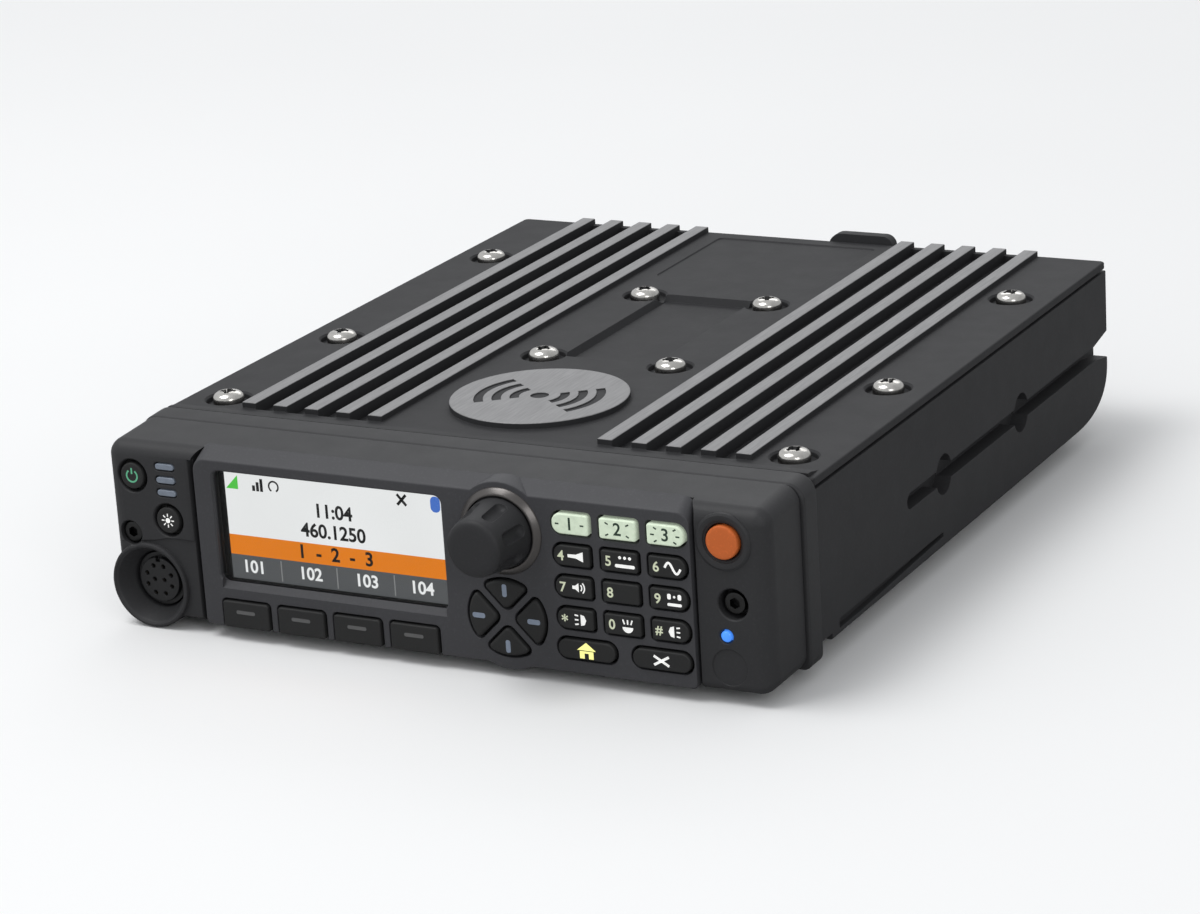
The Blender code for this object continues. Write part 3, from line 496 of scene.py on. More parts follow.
def metal(name, colour, roughness, stretch=None, grain=900, depth=0.08):
    """Bare or plated metal with fine scratches, drawn out along the axis whose stretch is smallest."""
    nodes = Nodes(name)
    scratches = nodes.noise(grain, 4.0, 0.6, stretch)
    low, high = max(roughness - 0.06, 0.05), roughness + 0.08
    return nodes.finish({
        "Base Color": nodes.mix(nodes.span(scratches, 0.3, 0.7), rgb(colour, 0.88), rgb(colour, 1.08)),
        "Metallic": 1.0,
        "Roughness": nodes.span(nodes.noise(180, 4), 0.3, 0.7, low, high),
        "Normal": nodes.bump(scratches, depth, 0.03, nodes.soft_edge(0.15, 4)),
    })


def printed(name, colour, roughness=0.5, glow=0.0):
    """Ink or a lit cap: a slightly uneven tone that can give off light."""
    nodes = Nodes(name)
    tone = nodes.mix(nodes.span(nodes.noise(700), 0.3, 0.7), rgb(colour, 0.90), rgb(colour, 1.05))
    lit = {"Emission Color": tone, "Emission Strength": glow} if glow else {}
    return nodes.finish({"Base Color": tone, "Roughness": roughness, **lit})


def screen(name, colour):
    """One colour of the lit display, with its fine dot rows and a slight falloff."""
    nodes = Nodes(name)
    waves = {"Vector": nodes.place, "Scale": 900.0}
    rows, columns = [
        nodes.add("ShaderNodeTexWave", waves, bands_direction=way).outputs["Fac"] for way in "ZX"
    ]
    dots = nodes.span(nodes.maths("MULTIPLY", rows, columns), 0.0, 1.0, 0.97, 1.02)
    haze = nodes.span(nodes.noise(35, 2), 0.3, 0.7, 0.97, 1.03)
    return nodes.finish({
        "Base Color": rgb((0.01, 0.01, 0.01)),
        "Specular IOR Level": 0.2,
        "Emission Color": rgb(colour),
        "Emission Strength": nodes.maths("MULTIPLY", dots, haze),
    })


def clear_window(name):
    """Clear plastic that lets the display through and catches a faint reflection."""
    nodes = Nodes(name)
    smudges = nodes.span(nodes.noise(60, 4), 0.4, 0.7, 0.03, 0.10)
    gloss = nodes.add("ShaderNodeBsdfGlossy", {"Color": rgb((1, 1, 1)), "Roughness": smudges})
    through = nodes.add("ShaderNodeBsdfTransparent", {"Color": rgb((0.97, 0.98, 0.98))})
    share = nodes.add("ShaderNodeFresnel", {"IOR": 1.18}).outputs[0]
    both = nodes.add("ShaderNodeMixShader", {0: share, 1: through.outputs[0], 2: gloss.outputs[0]})
    nodes.tree.links.new(both.outputs[0], nodes.tree.nodes["Material Output"].inputs["Surface"])
    return nodes.material


def cover_coat(name, colour, bare):
    """The cover's rough black coat, ground off to bare aluminium on the rib tops and the badge."""
    coat = coated(name, colour, 0.62, (2400, 0.28), 0.3, specular=0.22, edge=0.2, pits=0.5)
    nodes = Nodes(name, coat)
    height = nodes.add("ShaderNodeSeparateXYZ", {0: nodes.place}).outputs["Z"]
    level = nodes.maths("ADD", height, nodes.maths("MULTIPLY", nodes.noise(900), 0.00008))
    ground = nodes.span(level, (FIN_TOP - 0.16) * UNIT, (FIN_TOP - 0.10) * UNIT)
    lines = nodes.span(nodes.noise(2600.0, 3.0, 0.5, (1.0, 0.05, 1.0)), 0.3, 0.7)
    shine = nodes.mix(lines, rgb(bare, 0.86), rgb(bare, 1.1))
    inputs = nodes.shader.inputs
    black, rough = [inputs[key].links[0].from_socket for key in ("Base Color", "Roughness")]
    return nodes.finish({
        "Base Color": nodes.mix(ground, black, shine),
        "Roughness": nodes.maths("ADD", nodes.maths("MULTIPLY", ground, -0.12), rough),
        "Metallic": nodes.maths("MULTIPLY", ground, 0.35),
    })


CAST = coated("casting", (0.037, 0.037, 0.039), 0.6, (2400, 0.26), 0.3, specular=0.22, pits=0.5)
COVER = cover_coat("cover_casting", (0.032, 0.032, 0.034), (0.28, 0.278, 0.282))
WING = coated("body_plastic", (0.036, 0.036, 0.038), 0.52, (3000, 0.12), 0.35, specular=0.26)
BEZEL = coated("bezel_plastic", (0.060, 0.060, 0.065), 0.5, (3000, 0.10), 0.35, edge=0.2, specular=0.28)
SATIN = coated("knob_collar_finish", (0.12, 0.112, 0.108), 0.30, (900, 0.03), 0.3, metallic=0.7)
RUBBER = coated("key_rubber", (0.028, 0.028, 0.028), 0.55, (3200, 0.10), 0.4, edge=0.2, specular=0.25)
KNOB_RUBBER = coated("knob_rubber", (0.030, 0.030, 0.032), 0.55, (2600, 0.12), 0.4, specular=0.28)
ORANGE = coated("orange_button", (0.68, 0.155, 0.035), 0.5, (2600, 0.10), 0.15, specular=0.3)
MOULDED = coated("connector_plastic", (0.016, 0.016, 0.017), 0.38, (1500, 0.06), 0.5)
SILICONE = coated("silicone", (0.03, 0.03, 0.03), 0.7, (2200, 0.08), 0.2)
LIT_KEY = printed("lit_key", (0.72, 0.83, 0.65), 0.5, 0.22)
DIGIT = printed("digit_ink", (0.62, 0.66, 0.48), 0.5, 0.30)
ICON = printed("icon_ink", (0.88, 0.88, 0.86), 0.5, 0.45)
DARK_INK = printed("dark_ink", (0.02, 0.05, 0.03), 0.5)
HOME_INK = printed("home_ink", (1.0, 0.95, 0.32), 0.5, 0.6)
GREEN_INK = printed("green_ink", (0.10, 0.38, 0.22), 0.5, 0.35)
SOFT_INK = printed("soft_ink", (0.13, 0.13, 0.13), 0.5)
# Near-black: painted shade inside the screw recesses and on the display window's edges, and the display
# panel's black backing.
SHADE_AND_BACKING_BLACK = printed("shade_and_backing_black", (0.012, 0.012, 0.012), 0.6)
BLUE_DASH = printed("blue_dash", (0.21, 0.25, 0.32), 0.4, 0.15)
BAR_LIGHT = printed("light_pipe", (0.19, 0.22, 0.27), 0.3, 0.12)
BLUE_LENS = printed("blue_lens", (0.06, 0.25, 0.85), 0.25, 0.75)
CHROME = metal("bright_screw", (0.70, 0.68, 0.645), 0.22, grain=600, depth=0.05)
NICKEL = metal("nickel", (0.62, 0.60, 0.56), 0.28, (1.0, 0.05, 1.0))
TIN = metal("tinplate", (0.55, 0.55, 0.55), 0.35)
BRASS = metal("brass", (0.66, 0.50, 0.22), 0.3)
GOLD = metal("contact_gold", (0.85, 0.62, 0.25), 0.22)
BLACK_STEEL = metal("black_screw", (0.05, 0.05, 0.05), 0.32)
PCB = coated("circuit_board", (0.01, 0.12, 0.05), 0.35, (700, 0.05), 0.2)
CLEAR = clear_window("clear_window")
SCREEN_COLOURS = {
    "white": (0.84, 0.84, 0.84),
    "orange": (0.76, 0.20, 0.006),
    "grey": (0.085, 0.088, 0.092),
    "black": (0.006, 0.006, 0.006),
    "pale": (0.22, 0.22, 0.22),
    "green": (0.08, 0.55, 0.06),
    "blue": (0.06, 0.16, 0.55),
}


# Transceiver


def tray_profile(front, rear, bottom, top, tail_length, tail_height, steps=22):
    """Side outline of a tray whose lower rear corner is a full superelliptic curve."""
    outline = [(front, bottom)]
    for step in range(steps + 1):
        turn = math.pi / 2 * step / steps
        along = math.sin(turn) ** (2 / TAIL[2])
        down = math.cos(turn) ** (2 / TAIL[2])
        outline.append((rear - tail_length * (1 - along), bottom + tail_height * (1 - down)))
    return outline + [(rear, top), (front, top)]


def screw_places():
    return [middle_xy(f"cover_screw_{i}") for i in range(1, 11)]


def middle_xy(name):
    low, high = node_box(name)
    return ((low.x + high.x) / 2, (low.y + high.y) / 2)


def from_side(side, depth):
    """The X range of a cut this deep into one side of the chassis."""
    return sorted((side * (HALF_WIDTH - depth), side * (HALF_WIDTH + 1)))


def side_cutters(side):
    """The bracket groove with its mouth and ovals, and the strip recess low on the side."""
    half = GROOVE_HEIGHT / 2
    low, high = GROOVE_Z - half, GROOVE_Z + half
    mouth, end = REAR - 10, REAR + 1
    corners = ((GROOVE_START, low), (mouth, low), (end, low - 1.7), (end, high + 2.0), (mouth, high))
    slot = rounded(corners + ((GROOVE_START, high),), (half - 0.05, 0, 0, 0, 0, half - 0.05))
    cutters = [[prism("X", slot, *from_side(side, GROOVE_DEPTH))]]
    ovals = []
    for y, width, height in GROOVE_LOBES:
        outline = [(y + u * width / 2, GROOVE_Z + v * height / 2) for u, v in circle((0, 0), 1, 40)]
        ovals.append(prism("X", outline, *from_side(side, GROOVE_DEPTH + 0.4)))
    strip = ((-82.5, 1.3), (-70.5, 1.3), (-20.2, 2.5), (-20.2, 3.7), (-82.5, 3.7))
    strip = rounded(strip, (0.5, 0, 0.4, 0.4, 0.8), 4)
    cutters.append(ovals + [prism("X", strip, *from_side(side, 1.6))])
    return cutters


def chassis_shell():
    steps = []
    for way_in, gap in ((0, 0.4), (0.06, 0.2), (0.2, 0.06), (0.4, 0)):
        steps.append((way_in - HALF_WIDTH, gap))
    steps += [(-x, gap) for x, gap in reversed(steps)]
    loops = []
    for x, gap in steps:
        outline = tray_profile(FRONT, REAR - gap, gap, CHASSIS_TOP - gap / 2, TAIL[0], TAIL[1])
        loops.append([(x, y, z) for y, z in outline])
    inside_x = HALF_WIDTH - SIDE_WALL
    inside = tray_profile(FRONT + END_WALL, REAR - END_WALL, FLOOR, CHASSIS_TOP + 5, 19, 9, 10)
    high = node_box("chassis")[1]
    left, right = ANTENNA[0] - 9.6, ANTENNA[0] + 9.6
    lower = rounded(rectangle(left, 12, right, 35), (2, 2, 0, 0))
    crown = rounded(rectangle(left, 30, right, high.z), (0, 0, 3, 4))
    holes = [
        prism("Y", rounded_rectangle((-58.0, 21.5), 28, 13, 2), REAR - END_WALL - 1, REAR + 1),
        prism("Y", rounded_rectangle((-17.0, 21.5), 38, 13, 2), REAR - END_WALL - 1, REAR + 1),
        turned("Y", ANTENNA, ((6.5, 86), (6.5, high.y - 0.8), (7.3, high.y), (7.3, high.y + 1)), 40),
    ]
    pilots = [prism("Z", circle(place, 1.8, 12), 27, CHASSIS_TOP + 1) for place in screw_places()]
    posts = [prism("Z", circle(place, 4.8, 20), FLOOR - 1, 37.6) for place in screw_places()]
    left, right = side_cutters(-1), side_cutters(1)
    shell = worked(
        skin(loops),
        cut(prism("X", inside, -inside_x, inside_x)),
        add(*posts, soft_prism("Y", lower, high.y - 0.2, REAR - 1.5, 0.8)),
        add(soft_prism("Y", crown, high.y, REAR + 0.3, 0.9)),
        cut(box((-82.5, FRONT + 2.5, 37.0), (82.5, REAR - 2.5, CHASSIS_TOP + 1))),
        cut(box((-90, FRONT - 1, -1), (90, FRONT + 7.0, 1.6))),
        cut(*holes, *pilots),
        cut(*left[0], *right[0]),
        cut(*left[1], *right[1]),
        cut(box((-30, FRONT - 1, 10), (30, FRONT + END_WALL + 1, 30))),
        cut(*underside_cutters(), *rear_face_cutters()),
    )
    piece("chassis_shell", "chassis", "casting", shell, CAST, angle=32)


def underside_cutters():
    """A shallow blank label recess and the marks that ejector pins leave in a casting."""
    label = rounded_rectangle((34, 30), 62, 40, 2)
    marks = [prism("Z", circle((x, y), 3.0, 28), -1, 0.25) for x in (-70, 0, 70) for y in (-70, -20, 60)]
    return [prism("Z", label, -1, 0.3)] + marks


def rear_face_cutters():
    """Cooling slots low down between the rear sockets and the corner of the casting."""
    outlines = [rounded_rectangle((37 + 6.4 * i, 26), 3.4, 17, 1.6, 4) for i in range(7)]
    return [prism("Y", outline, REAR - 2.2, REAR + 1) for outline in outlines]


def cover_outline(gap):
    low, high = COVER_LOW.y + gap, COVER_HIGH.y - gap
    return rounded(rectangle(gap - HALF_WIDTH, low, HALF_WIDTH - gap, high), (1.2,) * 4, 3)


def badge_mark():
    """A generic wireless sign: a dot with three arcs on either side of it."""
    tools = [prism("Z", circle(BADGE, 2.3, 24), FIN_TOP - 0.35, FIN_TOP + 1)]
    for side in (0, 180):
        for radius in (6.2, 10.6, 15.0):
            outer = arc_points(BADGE, radius + 1.15, side - 38, side + 38, 16)
            inner = arc_points(BADGE, radius - 1.15, side - 38, side + 38, 16)
            tools.append(prism("Z", outer + inner[::-1], FIN_TOP - 0.35, FIN_TOP + 1))
    return tools


def fin_range(side, start, width):
    """The X range of a strip on one side of the cover, from its distance behind the first rib's edge."""
    ends = side * (FIRST_FIN + start), side * (FIRST_FIN + start + width)
    return [PATTERN_X + end for end in sorted(ends)]


def cover_plate():
    bottom = CHASSIS_TOP + 0.3
    steps = []
    for gap, level in (
        (1.0, bottom), (1.0, bottom + 0.6), (0.0, bottom + 0.6), (0.0, PLATE_TOP - 0.45),
        (0.08, PLATE_TOP - 0.22), (0.22, PLATE_TOP - 0.08), (0.5, PLATE_TOP),
    ):
        steps.append((cover_outline(gap), level))
    ribs, valleys = [], []
    width = FIN_PITCH * 4 + FIN_WIDTH
    for side in (-1, 1):
        for i in range(5):
            low, high = fin_range(side, FIN_PITCH * i, FIN_WIDTH)
            outline = rectangle(low, FIN_FRONT, high, COVER_HIGH.y - 0.2)
            ribs.append(lofted("Z", soft_steps(outline, FIN_TOP, 40.0, 0.25, 2)[::-1]))
        for i in range(4):
            low, high = fin_range(side, FIN_WIDTH + FIN_PITCH * i, FIN_PITCH - FIN_WIDTH)
            valleys.append(box((low, FIN_FRONT - 0.4, FIN_VALLEY), (high, COVER_HIGH.y - 2.2, PLATE_TOP + 1)))
    slabs = [box((-12.5, -24.2, COVER_LOW.z), (12.5, 34.8, 39.0))]
    for side in (-1, 1):
        low, high = fin_range(side, 1, width - 2)
        slabs.append(box((low, FIN_FRONT, COVER_LOW.z), (high, 85.0, 39.0)))
    lip = ((COVER_LOW.y + 1, 40.2), (-86.4, 40.2), (-86.4, 41.05), (-88.5, 41.4), (-90.8, 41.95))
    lip += ((COVER_LOW.y + 1, 42.0),)
    disc = lofted("Z", soft_steps(circle(BADGE, BADGE_RADIUS, 72), FIN_TOP, 40.0, 0.3)[::-1])
    bore = ((1.9, 36), (1.9, SCREW_SEAT), (5.6, SCREW_SEAT), (5.6, PLATE_TOP - 0.5))
    bore += ((6.1, PLATE_TOP), (6.1, FIN_TOP - 0.05))
    bores = [turned("Z", place, bore, 40) for place in screw_places()]
    plate = worked(
        lofted("Z", steps),
        add(*slabs),
        cut(*valleys),
        add(*ribs, disc),
        add(prism("X", lip, 1.6 - HALF_WIDTH, HALF_WIDTH - 1.6)),
        cut(*bores),
        cut(sunk_field(5.3, 24.4, 56.4, 1.8, 2.2, 39.25)),
        cut(sunk_field(70, 47.0, 40.0, 0.6, 1.8, 40.75)),
        cut(*badge_mark()),
    )
    piece("cover_plate", "top_cover", "casting", plate, COVER, angle=32)


def sunk_field(y, width, length, slope, corner, floor):
    """A cutter for a sunk field in the middle of the cover, with sloping walls."""
    low = rounded_rectangle((0, y), width, length, 1.5)
    high = rounded_rectangle((0, y), width + slope, length + slope, corner)
    return lofted("Z", ((low, floor), (high, PLATE_TOP), (high, FIN_TOP - 0.1)))


def screw_cross(place, turn, top):
    """The two blades and the point of a cross recess that tapers downwards."""
    cutters = []
    for angle in (turn, turn + math.pi / 2):
        spin = Matrix.Rotation(angle, 2)
        wide = [tuple(Vector(place) + spin @ Vector(p)) for p in rectangle(-2.2, -0.62, 2.2, 0.62)]
        thin = [tuple(Vector(place) + spin @ Vector(p)) for p in rectangle(-1.0, -0.4, 1.0, 0.4)]
        cutters.append(lofted("Z", ((thin, top - 1.9), (wide, top + 0.3))))
    return cutters + [turned("Z", place, ((0.4, top - 2.1), (1.6, top + 0.3)), 16)]


def cover_screws():
    """Domed heads in their counterbores, with a recess for a cross-head driver whose inside is painted black
    as shade.
    """
    seat = SCREW_SEAT + 0.3
    for i, place in enumerate(screw_places(), 1):
        top = node_box(f"cover_screw_{i}")[1].z
        profile = ((1.5, 29), (1.5, seat), (3.75, seat), (3.9, seat + 0.15), (3.9, top - 1.8))
        profile += ((3.75, top - 1.25), (3.35, top - 0.75), (2.7, top - 0.36), (1.7, top - 0.1), (0.8, top))
        cutters = screw_cross(place, math.radians(41 * i - 24), top)
        head = worked(turned("Z", place, profile, 36), *map(cut, cutters))
        # Faces inside the cross recess get the near-black material: painted shade.
        head.faces.ensure_lookup_table()
        for face in head.faces:
            centre = face.calc_center_median() / UNIT
            away = math.hypot(centre.x - place[0], centre.y - place[1])
            if away < 2.4 and seat + 0.5 < centre.z < top - 0.3 - 0.05 * away:
                face.material_index = 1
        piece(f"cover_screw_head_{i}", f"cover_screw_{i}", "bright_screw", head, CHROME, SHADE_AND_BACKING_BLACK)


def rear_sockets():
    """The antenna jack and the two moulded sockets, with their contacts."""
    jack = ((6.2, 84), (6.2, 92.5), (5.9, 92.7), (5.9, 98.5), (5.6, 98.8))
    jack += ((4.5, 98.8), (4.4, 98.6), (4.4, 91))
    jack += ((2.6, 91), (2.6, 97.2), (2.3, 97.5), (1.0, 97.5))
    pin = turned("Y", ANTENNA, ((0.3, 98.2), (0.6, 97.6), (0.6, 96.0)), 20)
    body = joined([turned("Y", ANTENNA, jack), numbered(pin, 1)])
    piece("antenna_jack", "antenna_connector", "nickel", body, NICKEL, GOLD)
    multi_pin_socket("power", ((-66.0, -61.0), (-55.0, -50.0)), (-63.5, -52.5), 3.2)
    multi_pin_socket("accessory", ((-31.0, -3.0),), [-29.6 + 2.8 * i for i in range(10)], 0.9)


def multi_pin_socket(name, tongues, columns, size):
    low, high = node_box(f"{name}_connector")
    centre = middle(f"{name}_connector")
    width, height = front_size(f"{name}_connector")
    outer = rounded_rectangle(centre, width, height, (3.0, 3.0, 1.0, 1.0))
    inner = rounded_rectangle(centre, width - 3.2, height - 3.2, (1.5, 1.5, 0.5, 0.5))
    shell = worked(
        soft_prism("Y", outer, high.y, low.y, 0.4),
        cut(flared("Y", inner, high.y, 89.0, 0.3)),
        add(*[box((start, 88, 17.6), (end, high.y - 1.5, 19.0)) for start, end in tongues]),
    )
    blades = [box((x - size / 2, 89.5, 18.95), (x + size / 2, high.y - 2.2, 19.15)) for x in columns]
    whole = joined([shell] + [numbered(blade, 1) for blade in blades])
    piece(f"{name}_socket", f"{name}_connector", "connector_plastic", whole, MOULDED, GOLD)


# Control head


def head_top_at(y):
    """Height of the head's gently sloping top."""
    return HEAD_TOP - HEAD_SLOPE * (COLLAR_REAR - y)


def rounded_side_body(front, rear, bottom, half_width, front_radius, side_radius, steps=8):
    """A body with a sloping top, whose front, top and bottom edges all round over into its sides."""
    loops = []
    for side in (-1, 1):
        for step in range(steps + 1):
            turn = math.pi / 2 * (step if side > 0 else steps - step) / steps
            gap = side_radius * (1 - math.cos(turn))
            x = side * (half_width - side_radius * (1 - math.sin(turn)))
            y, low = front + gap, bottom + gap
            corners = ((y, low), (rear, low), (rear, head_top_at(rear) - gap), (y, head_top_at(y) - gap))
            soft = max(front_radius - gap, 0.3)
            loops.append([(x, u, v) for u, v in rounded(corners, (min(soft, 2.0), 0.3, 0.3, soft), 8)])
    return skin(loops)


def wing_opening(centre, radius, seat=0.5):
    """A round button hole with a rounded mouth."""
    steps = ((radius + 0.4, -121), (radius + 0.4, WING_FACE - 0.05), (radius + 0.12, WING_FACE + seat * 0.5))
    steps += ((radius, WING_FACE + seat), (radius, -114.6))
    return turned("Y", centre, steps, 40)


def rim(centre, radius, width, rise):
    """A low raised ring on the wing face."""
    face = WING_FACE
    profile = ((radius - width / 2, face + 0.5), (radius - width / 2, face - rise * 0.6))
    profile += ((radius - width / 5, face - rise), (radius + width / 5, face - rise))
    profile += ((radius + width / 2, face - rise * 0.3), (radius + width / 2, face + 0.5))
    return turned("Y", centre, profile, 48, ring=True)


def head_housing():
    low_x, high_x = BEZEL_LOW.x, BEZEL_HIGH.x
    body = rounded_side_body(WING_FACE, COLLAR_FRONT - 0.3, HEAD_BOTTOM, 88.0, 4.0, 4.0)
    side, rear = 85.4, -99.0
    cavity = ((side, rear), (-side, rear), (-side, -115.8), (low_x - 2.8, -115.8), (low_x - 2.8, -111.2))
    cavity += ((high_x + 2.7, -111.2), (high_x + 2.7, -115.8), (side, -115.8))
    bowl = ((10.25, -118.9), (10.6, -118.75), (10.78, -118.4), (10.82, -118.0), (10.82, -104.0))
    screws = [middle(name) for name in HEAD_SCREWS]
    bosses = [turned("Y", place, ((4.6, -116.2), (4.6, -112.0)), 24) for place in screws]
    edge = low_x - 1.7
    channel = rounded(rectangle(edge, -40, high_x + 0.75, BEZEL_HIGH.z - 0.55), (0, 0, 3.4, 5.4))
    eased = ((edge - 1.3, -118.8), (edge + 0.5, -118.8), (edge + 0.5, -116.4), (edge, -116.4))
    eased += ((edge - 0.15, -117.3), (edge - 0.55, -117.9), (edge - 1.3, -118.22))
    lamp_hole = ((2.0, -121), (2.0, WING_FACE), (1.65, WING_FACE + 0.3), (1.65, -114.6))
    bores = [
        wing_opening(middle("power_button"), 4.1),
        wing_opening(middle("dimmer_button"), 4.1),
        wing_opening(middle("emergency_button"), 4.3, 0.4),
        turned("Y", middle("indicator_lens"), lamp_hole, 28),
    ]
    for place, radius in zip(screws, (3.1, 3.7)):
        steps = ((radius + 0.3, -121), (radius + 0.3, WING_FACE), (radius, WING_FACE + 0.3), (radius, -113.3))
        bores.append(turned("Y", place, steps + ((2.0, -113.3), (2.0, -111)), 36))
    bores.append(turned("Y", MICROPHONE, bowl_bore(), 56))
    for z in bar_heights():
        slot = rounded_rectangle((middle("status_light_pipe")[0], z), 5.8, 2.1, 1.0)
        bores.append(flared("Y", slot, WING_FACE, -114.8, 0.2))
    housing = worked(
        body,
        cut(prism("Z", cavity, 0.2, 38.6)),
        cut(shoulder()),
        add(turned("Y", MICROPHONE, bowl, 64), bosses[1]),
        add(bosses[0], rim(middle("emergency_button"), 5.9, 1.8, 0.5)),
        cut(prism("Y", channel, -125, BEZEL_REAR + 0.3)),
        cut(prism("Z", eased, -40, 38.5)),
        cut(box((-59.0, -115.0, 2.0), (65.5, -110, 37.2))),
        cut(*bores),
        cut(turned("Y", (77.2, 3.6), ((4.4, -121), (4.4, WING_FACE + 0.22)), 40)),
    )
    piece("head_shell", "head_housing", "body_plastic", housing, WING, angle=32)


def bowl_bore():
    """Profile of the microphone bowl: a rounded lip, a cone and the bore behind it."""
    mouth = ((9.95, -120), (9.95, -118.75), (9.55, -118.5), (9.3, -118.2))
    return mouth + ((7.8, -114.9), (7.4, -114.2), (7.2, -113.6), (7.2, -103))


def shoulder():
    """The left wing's lower part sits a little deeper than its button panel."""
    low = ((-90, -6), (-60, -6), (-60, 17.8), (-71.5, 17.8), (-75.5, 16.9), (-90, 15.2))
    mouth = inset(low, -0.35)
    return lofted("Y", ((mouth, -121), (mouth, WING_FACE - 0.01), (low, WING_FACE + 0.45)))


def bar_heights():
    """Heights of the three status bars."""
    return [middle("status_light_pipe")[1] + step for step in (-3.3, -0.1, 3.3)]


def head_collar():
    steps = []
    for y, gap in (
        (COLLAR_FRONT, 0.7), (COLLAR_FRONT + 0.2, 0.3), (COLLAR_FRONT + 0.7, 0.0), (COLLAR_REAR - 0.5, 0.0),
        (COLLAR_REAR - 0.25, 0.06), (COLLAR_REAR - 0.08, 0.2), (COLLAR_REAR, 0.4),
    ):
        corners = rectangle(gap - 89.0, HEAD_BOTTOM - 0.2 + gap, 89.0 - gap, head_top_at(y) - gap / 2)
        steps.append((rounded(corners, (2.5, 2.5, 4.5, 4.5), 8), y))
    holes = [turned("Y", middle(name), ((1.9, -102), (1.9, -95.5)), 20) for name in HEAD_SCREWS]
    collar = worked(
        lofted("Y", steps),
        cut(box((-77, COLLAR_FRONT - 1, 2.5), (73, -96.2, 37.5))),
        cut(box((-30, -97, 10), (30, COLLAR_REAR + 1, 30)), *holes),
    )
    piece("head_collar", "head_back", "body_plastic", collar, WING, angle=32)


def bump(level, centre, radius, side, steps=16):
    """Points of a circular bulge on a level edge, side +1 above it and -1 below it, left to right."""
    reach = math.acos(min(abs(level - centre[1]) / radius, 1.0))
    points = []
    for step in range(steps + 1):
        turn = reach * (2 * step / steps - 1)
        points.append((centre[0] + radius * math.sin(turn), centre[1] + side * radius * math.cos(turn)))
    return points


def bezel_outline(top, gap=0.0):
    """Front outline: a rectangle that bulges round the knob above and the direction pad below."""
    left, right = BEZEL_LOW.x + gap, BEZEL_HIGH.x - gap
    low, high = -2.3 + gap, top - gap
    low_left = arc_at((left, low), (left, 0), (0, low), 1.2, 4)
    low_right = arc_at((right, low), (0, low), (right, 0), 1.2, 4)
    up_right = arc_at((right, high), (right, 0), (0, high), 3.2, 8)
    up_left = arc_at((left, high), (0, high), (left, 0), 3.2, 8)
    below = bump(low, PAD, 12.8 - gap, -1)
    above = bump(high, KNOB, max(11.9 - gap, high - KNOB[1] + 0.45), 1)
    return low_left + below + low_right + up_right + above[::-1] + up_left


def petal(along, across, grow):
    """One petal about the origin, pointing along +u, between two webs that cross at a right angle."""
    along, across, web = along + grow, across + grow, 1.3 - grow
    offset = web * math.sqrt(2)
    slope = 1 / along**2 + 1 / across**2
    shift = offset / along**2
    edge = math.asin((math.sqrt(shift**2 - slope * (shift * offset - 1)) - shift) / slope / across)
    middle_part = edge - math.radians(12)
    corners, radii = [(offset, 0.0)], [1.5 + grow]
    for turn in [-edge] + [middle_part * step / 6 for step in range(-6, 7)] + [edge]:
        corners.append((along * math.cos(turn), across * math.sin(turn)))
        radii.append(0.9 + grow if abs(turn) == edge else 0)
    return rounded(corners, radii, 5)


def pad_outlines(grow):
    """The four petals of the direction pad: quarters of an ellipse held apart by an X-shaped web."""
    petals = {}
    for quarter, name in enumerate(("right", "up", "left", "down")):
        along, across = (10.0, 9.3) if quarter % 2 == 0 else (9.3, 10.0)
        spin = Matrix.Rotation(quarter * math.pi / 2, 2)
        outline = [spin @ Vector(point) for point in petal(along, across, grow)]
        petals[f"nav_{name}"] = [(PAD[0] + u, PAD[1] + v) for u, v in outline]
    return petals


def key_outlines(grow):
    """Outlines of the keys in the number pad and below it, from their boxes in the frame."""
    found = {}
    for name, (left, right) in KEY_SHAPES.items():
        width, height = front_size(name)
        radii = (left + grow, right + grow, right + grow, left + grow)
        found[name] = rounded_rectangle(middle(name), width + 2 * grow, height + 2 * grow, radii, 8)
    return found


def soft_outlines(grow, open_below=False):
    found = {}
    for i in range(1, 5):
        low, high = node_box(f"soft_key_{i}")
        bottom = low.z - (6 if open_below else 0) - grow
        corners = rectangle(low.x - grow, bottom, high.x + grow, high.z + grow)
        found[f"soft_key_{i}"] = rounded(corners, (0.5, 0.5, 0.8 + max(grow, 0), 0.8 + max(grow, 0)), 4)
    return found


KEY_SHAPES = {f"key_{name}": (0.7, 0.7) for name in ("2", "5", "8", "0")}
KEY_SHAPES.update({f"key_{name}": (2.3, 0.7) for name in ("1", "4", "7", "star")})
KEY_SHAPES.update({f"key_{name}": (0.7, 2.3) for name in ("3", "6", "9", "hash")})
KEY_SHAPES.update({"key_home": (2.3, 2.3), "key_clear": (2.3, 2.3)})
KEY_SIGNS = {name: [] for name in KEY_SHAPES}
PALE, DARK, WHITE, YELLOW = 1, 2, 3, 4
WELL = 0.55


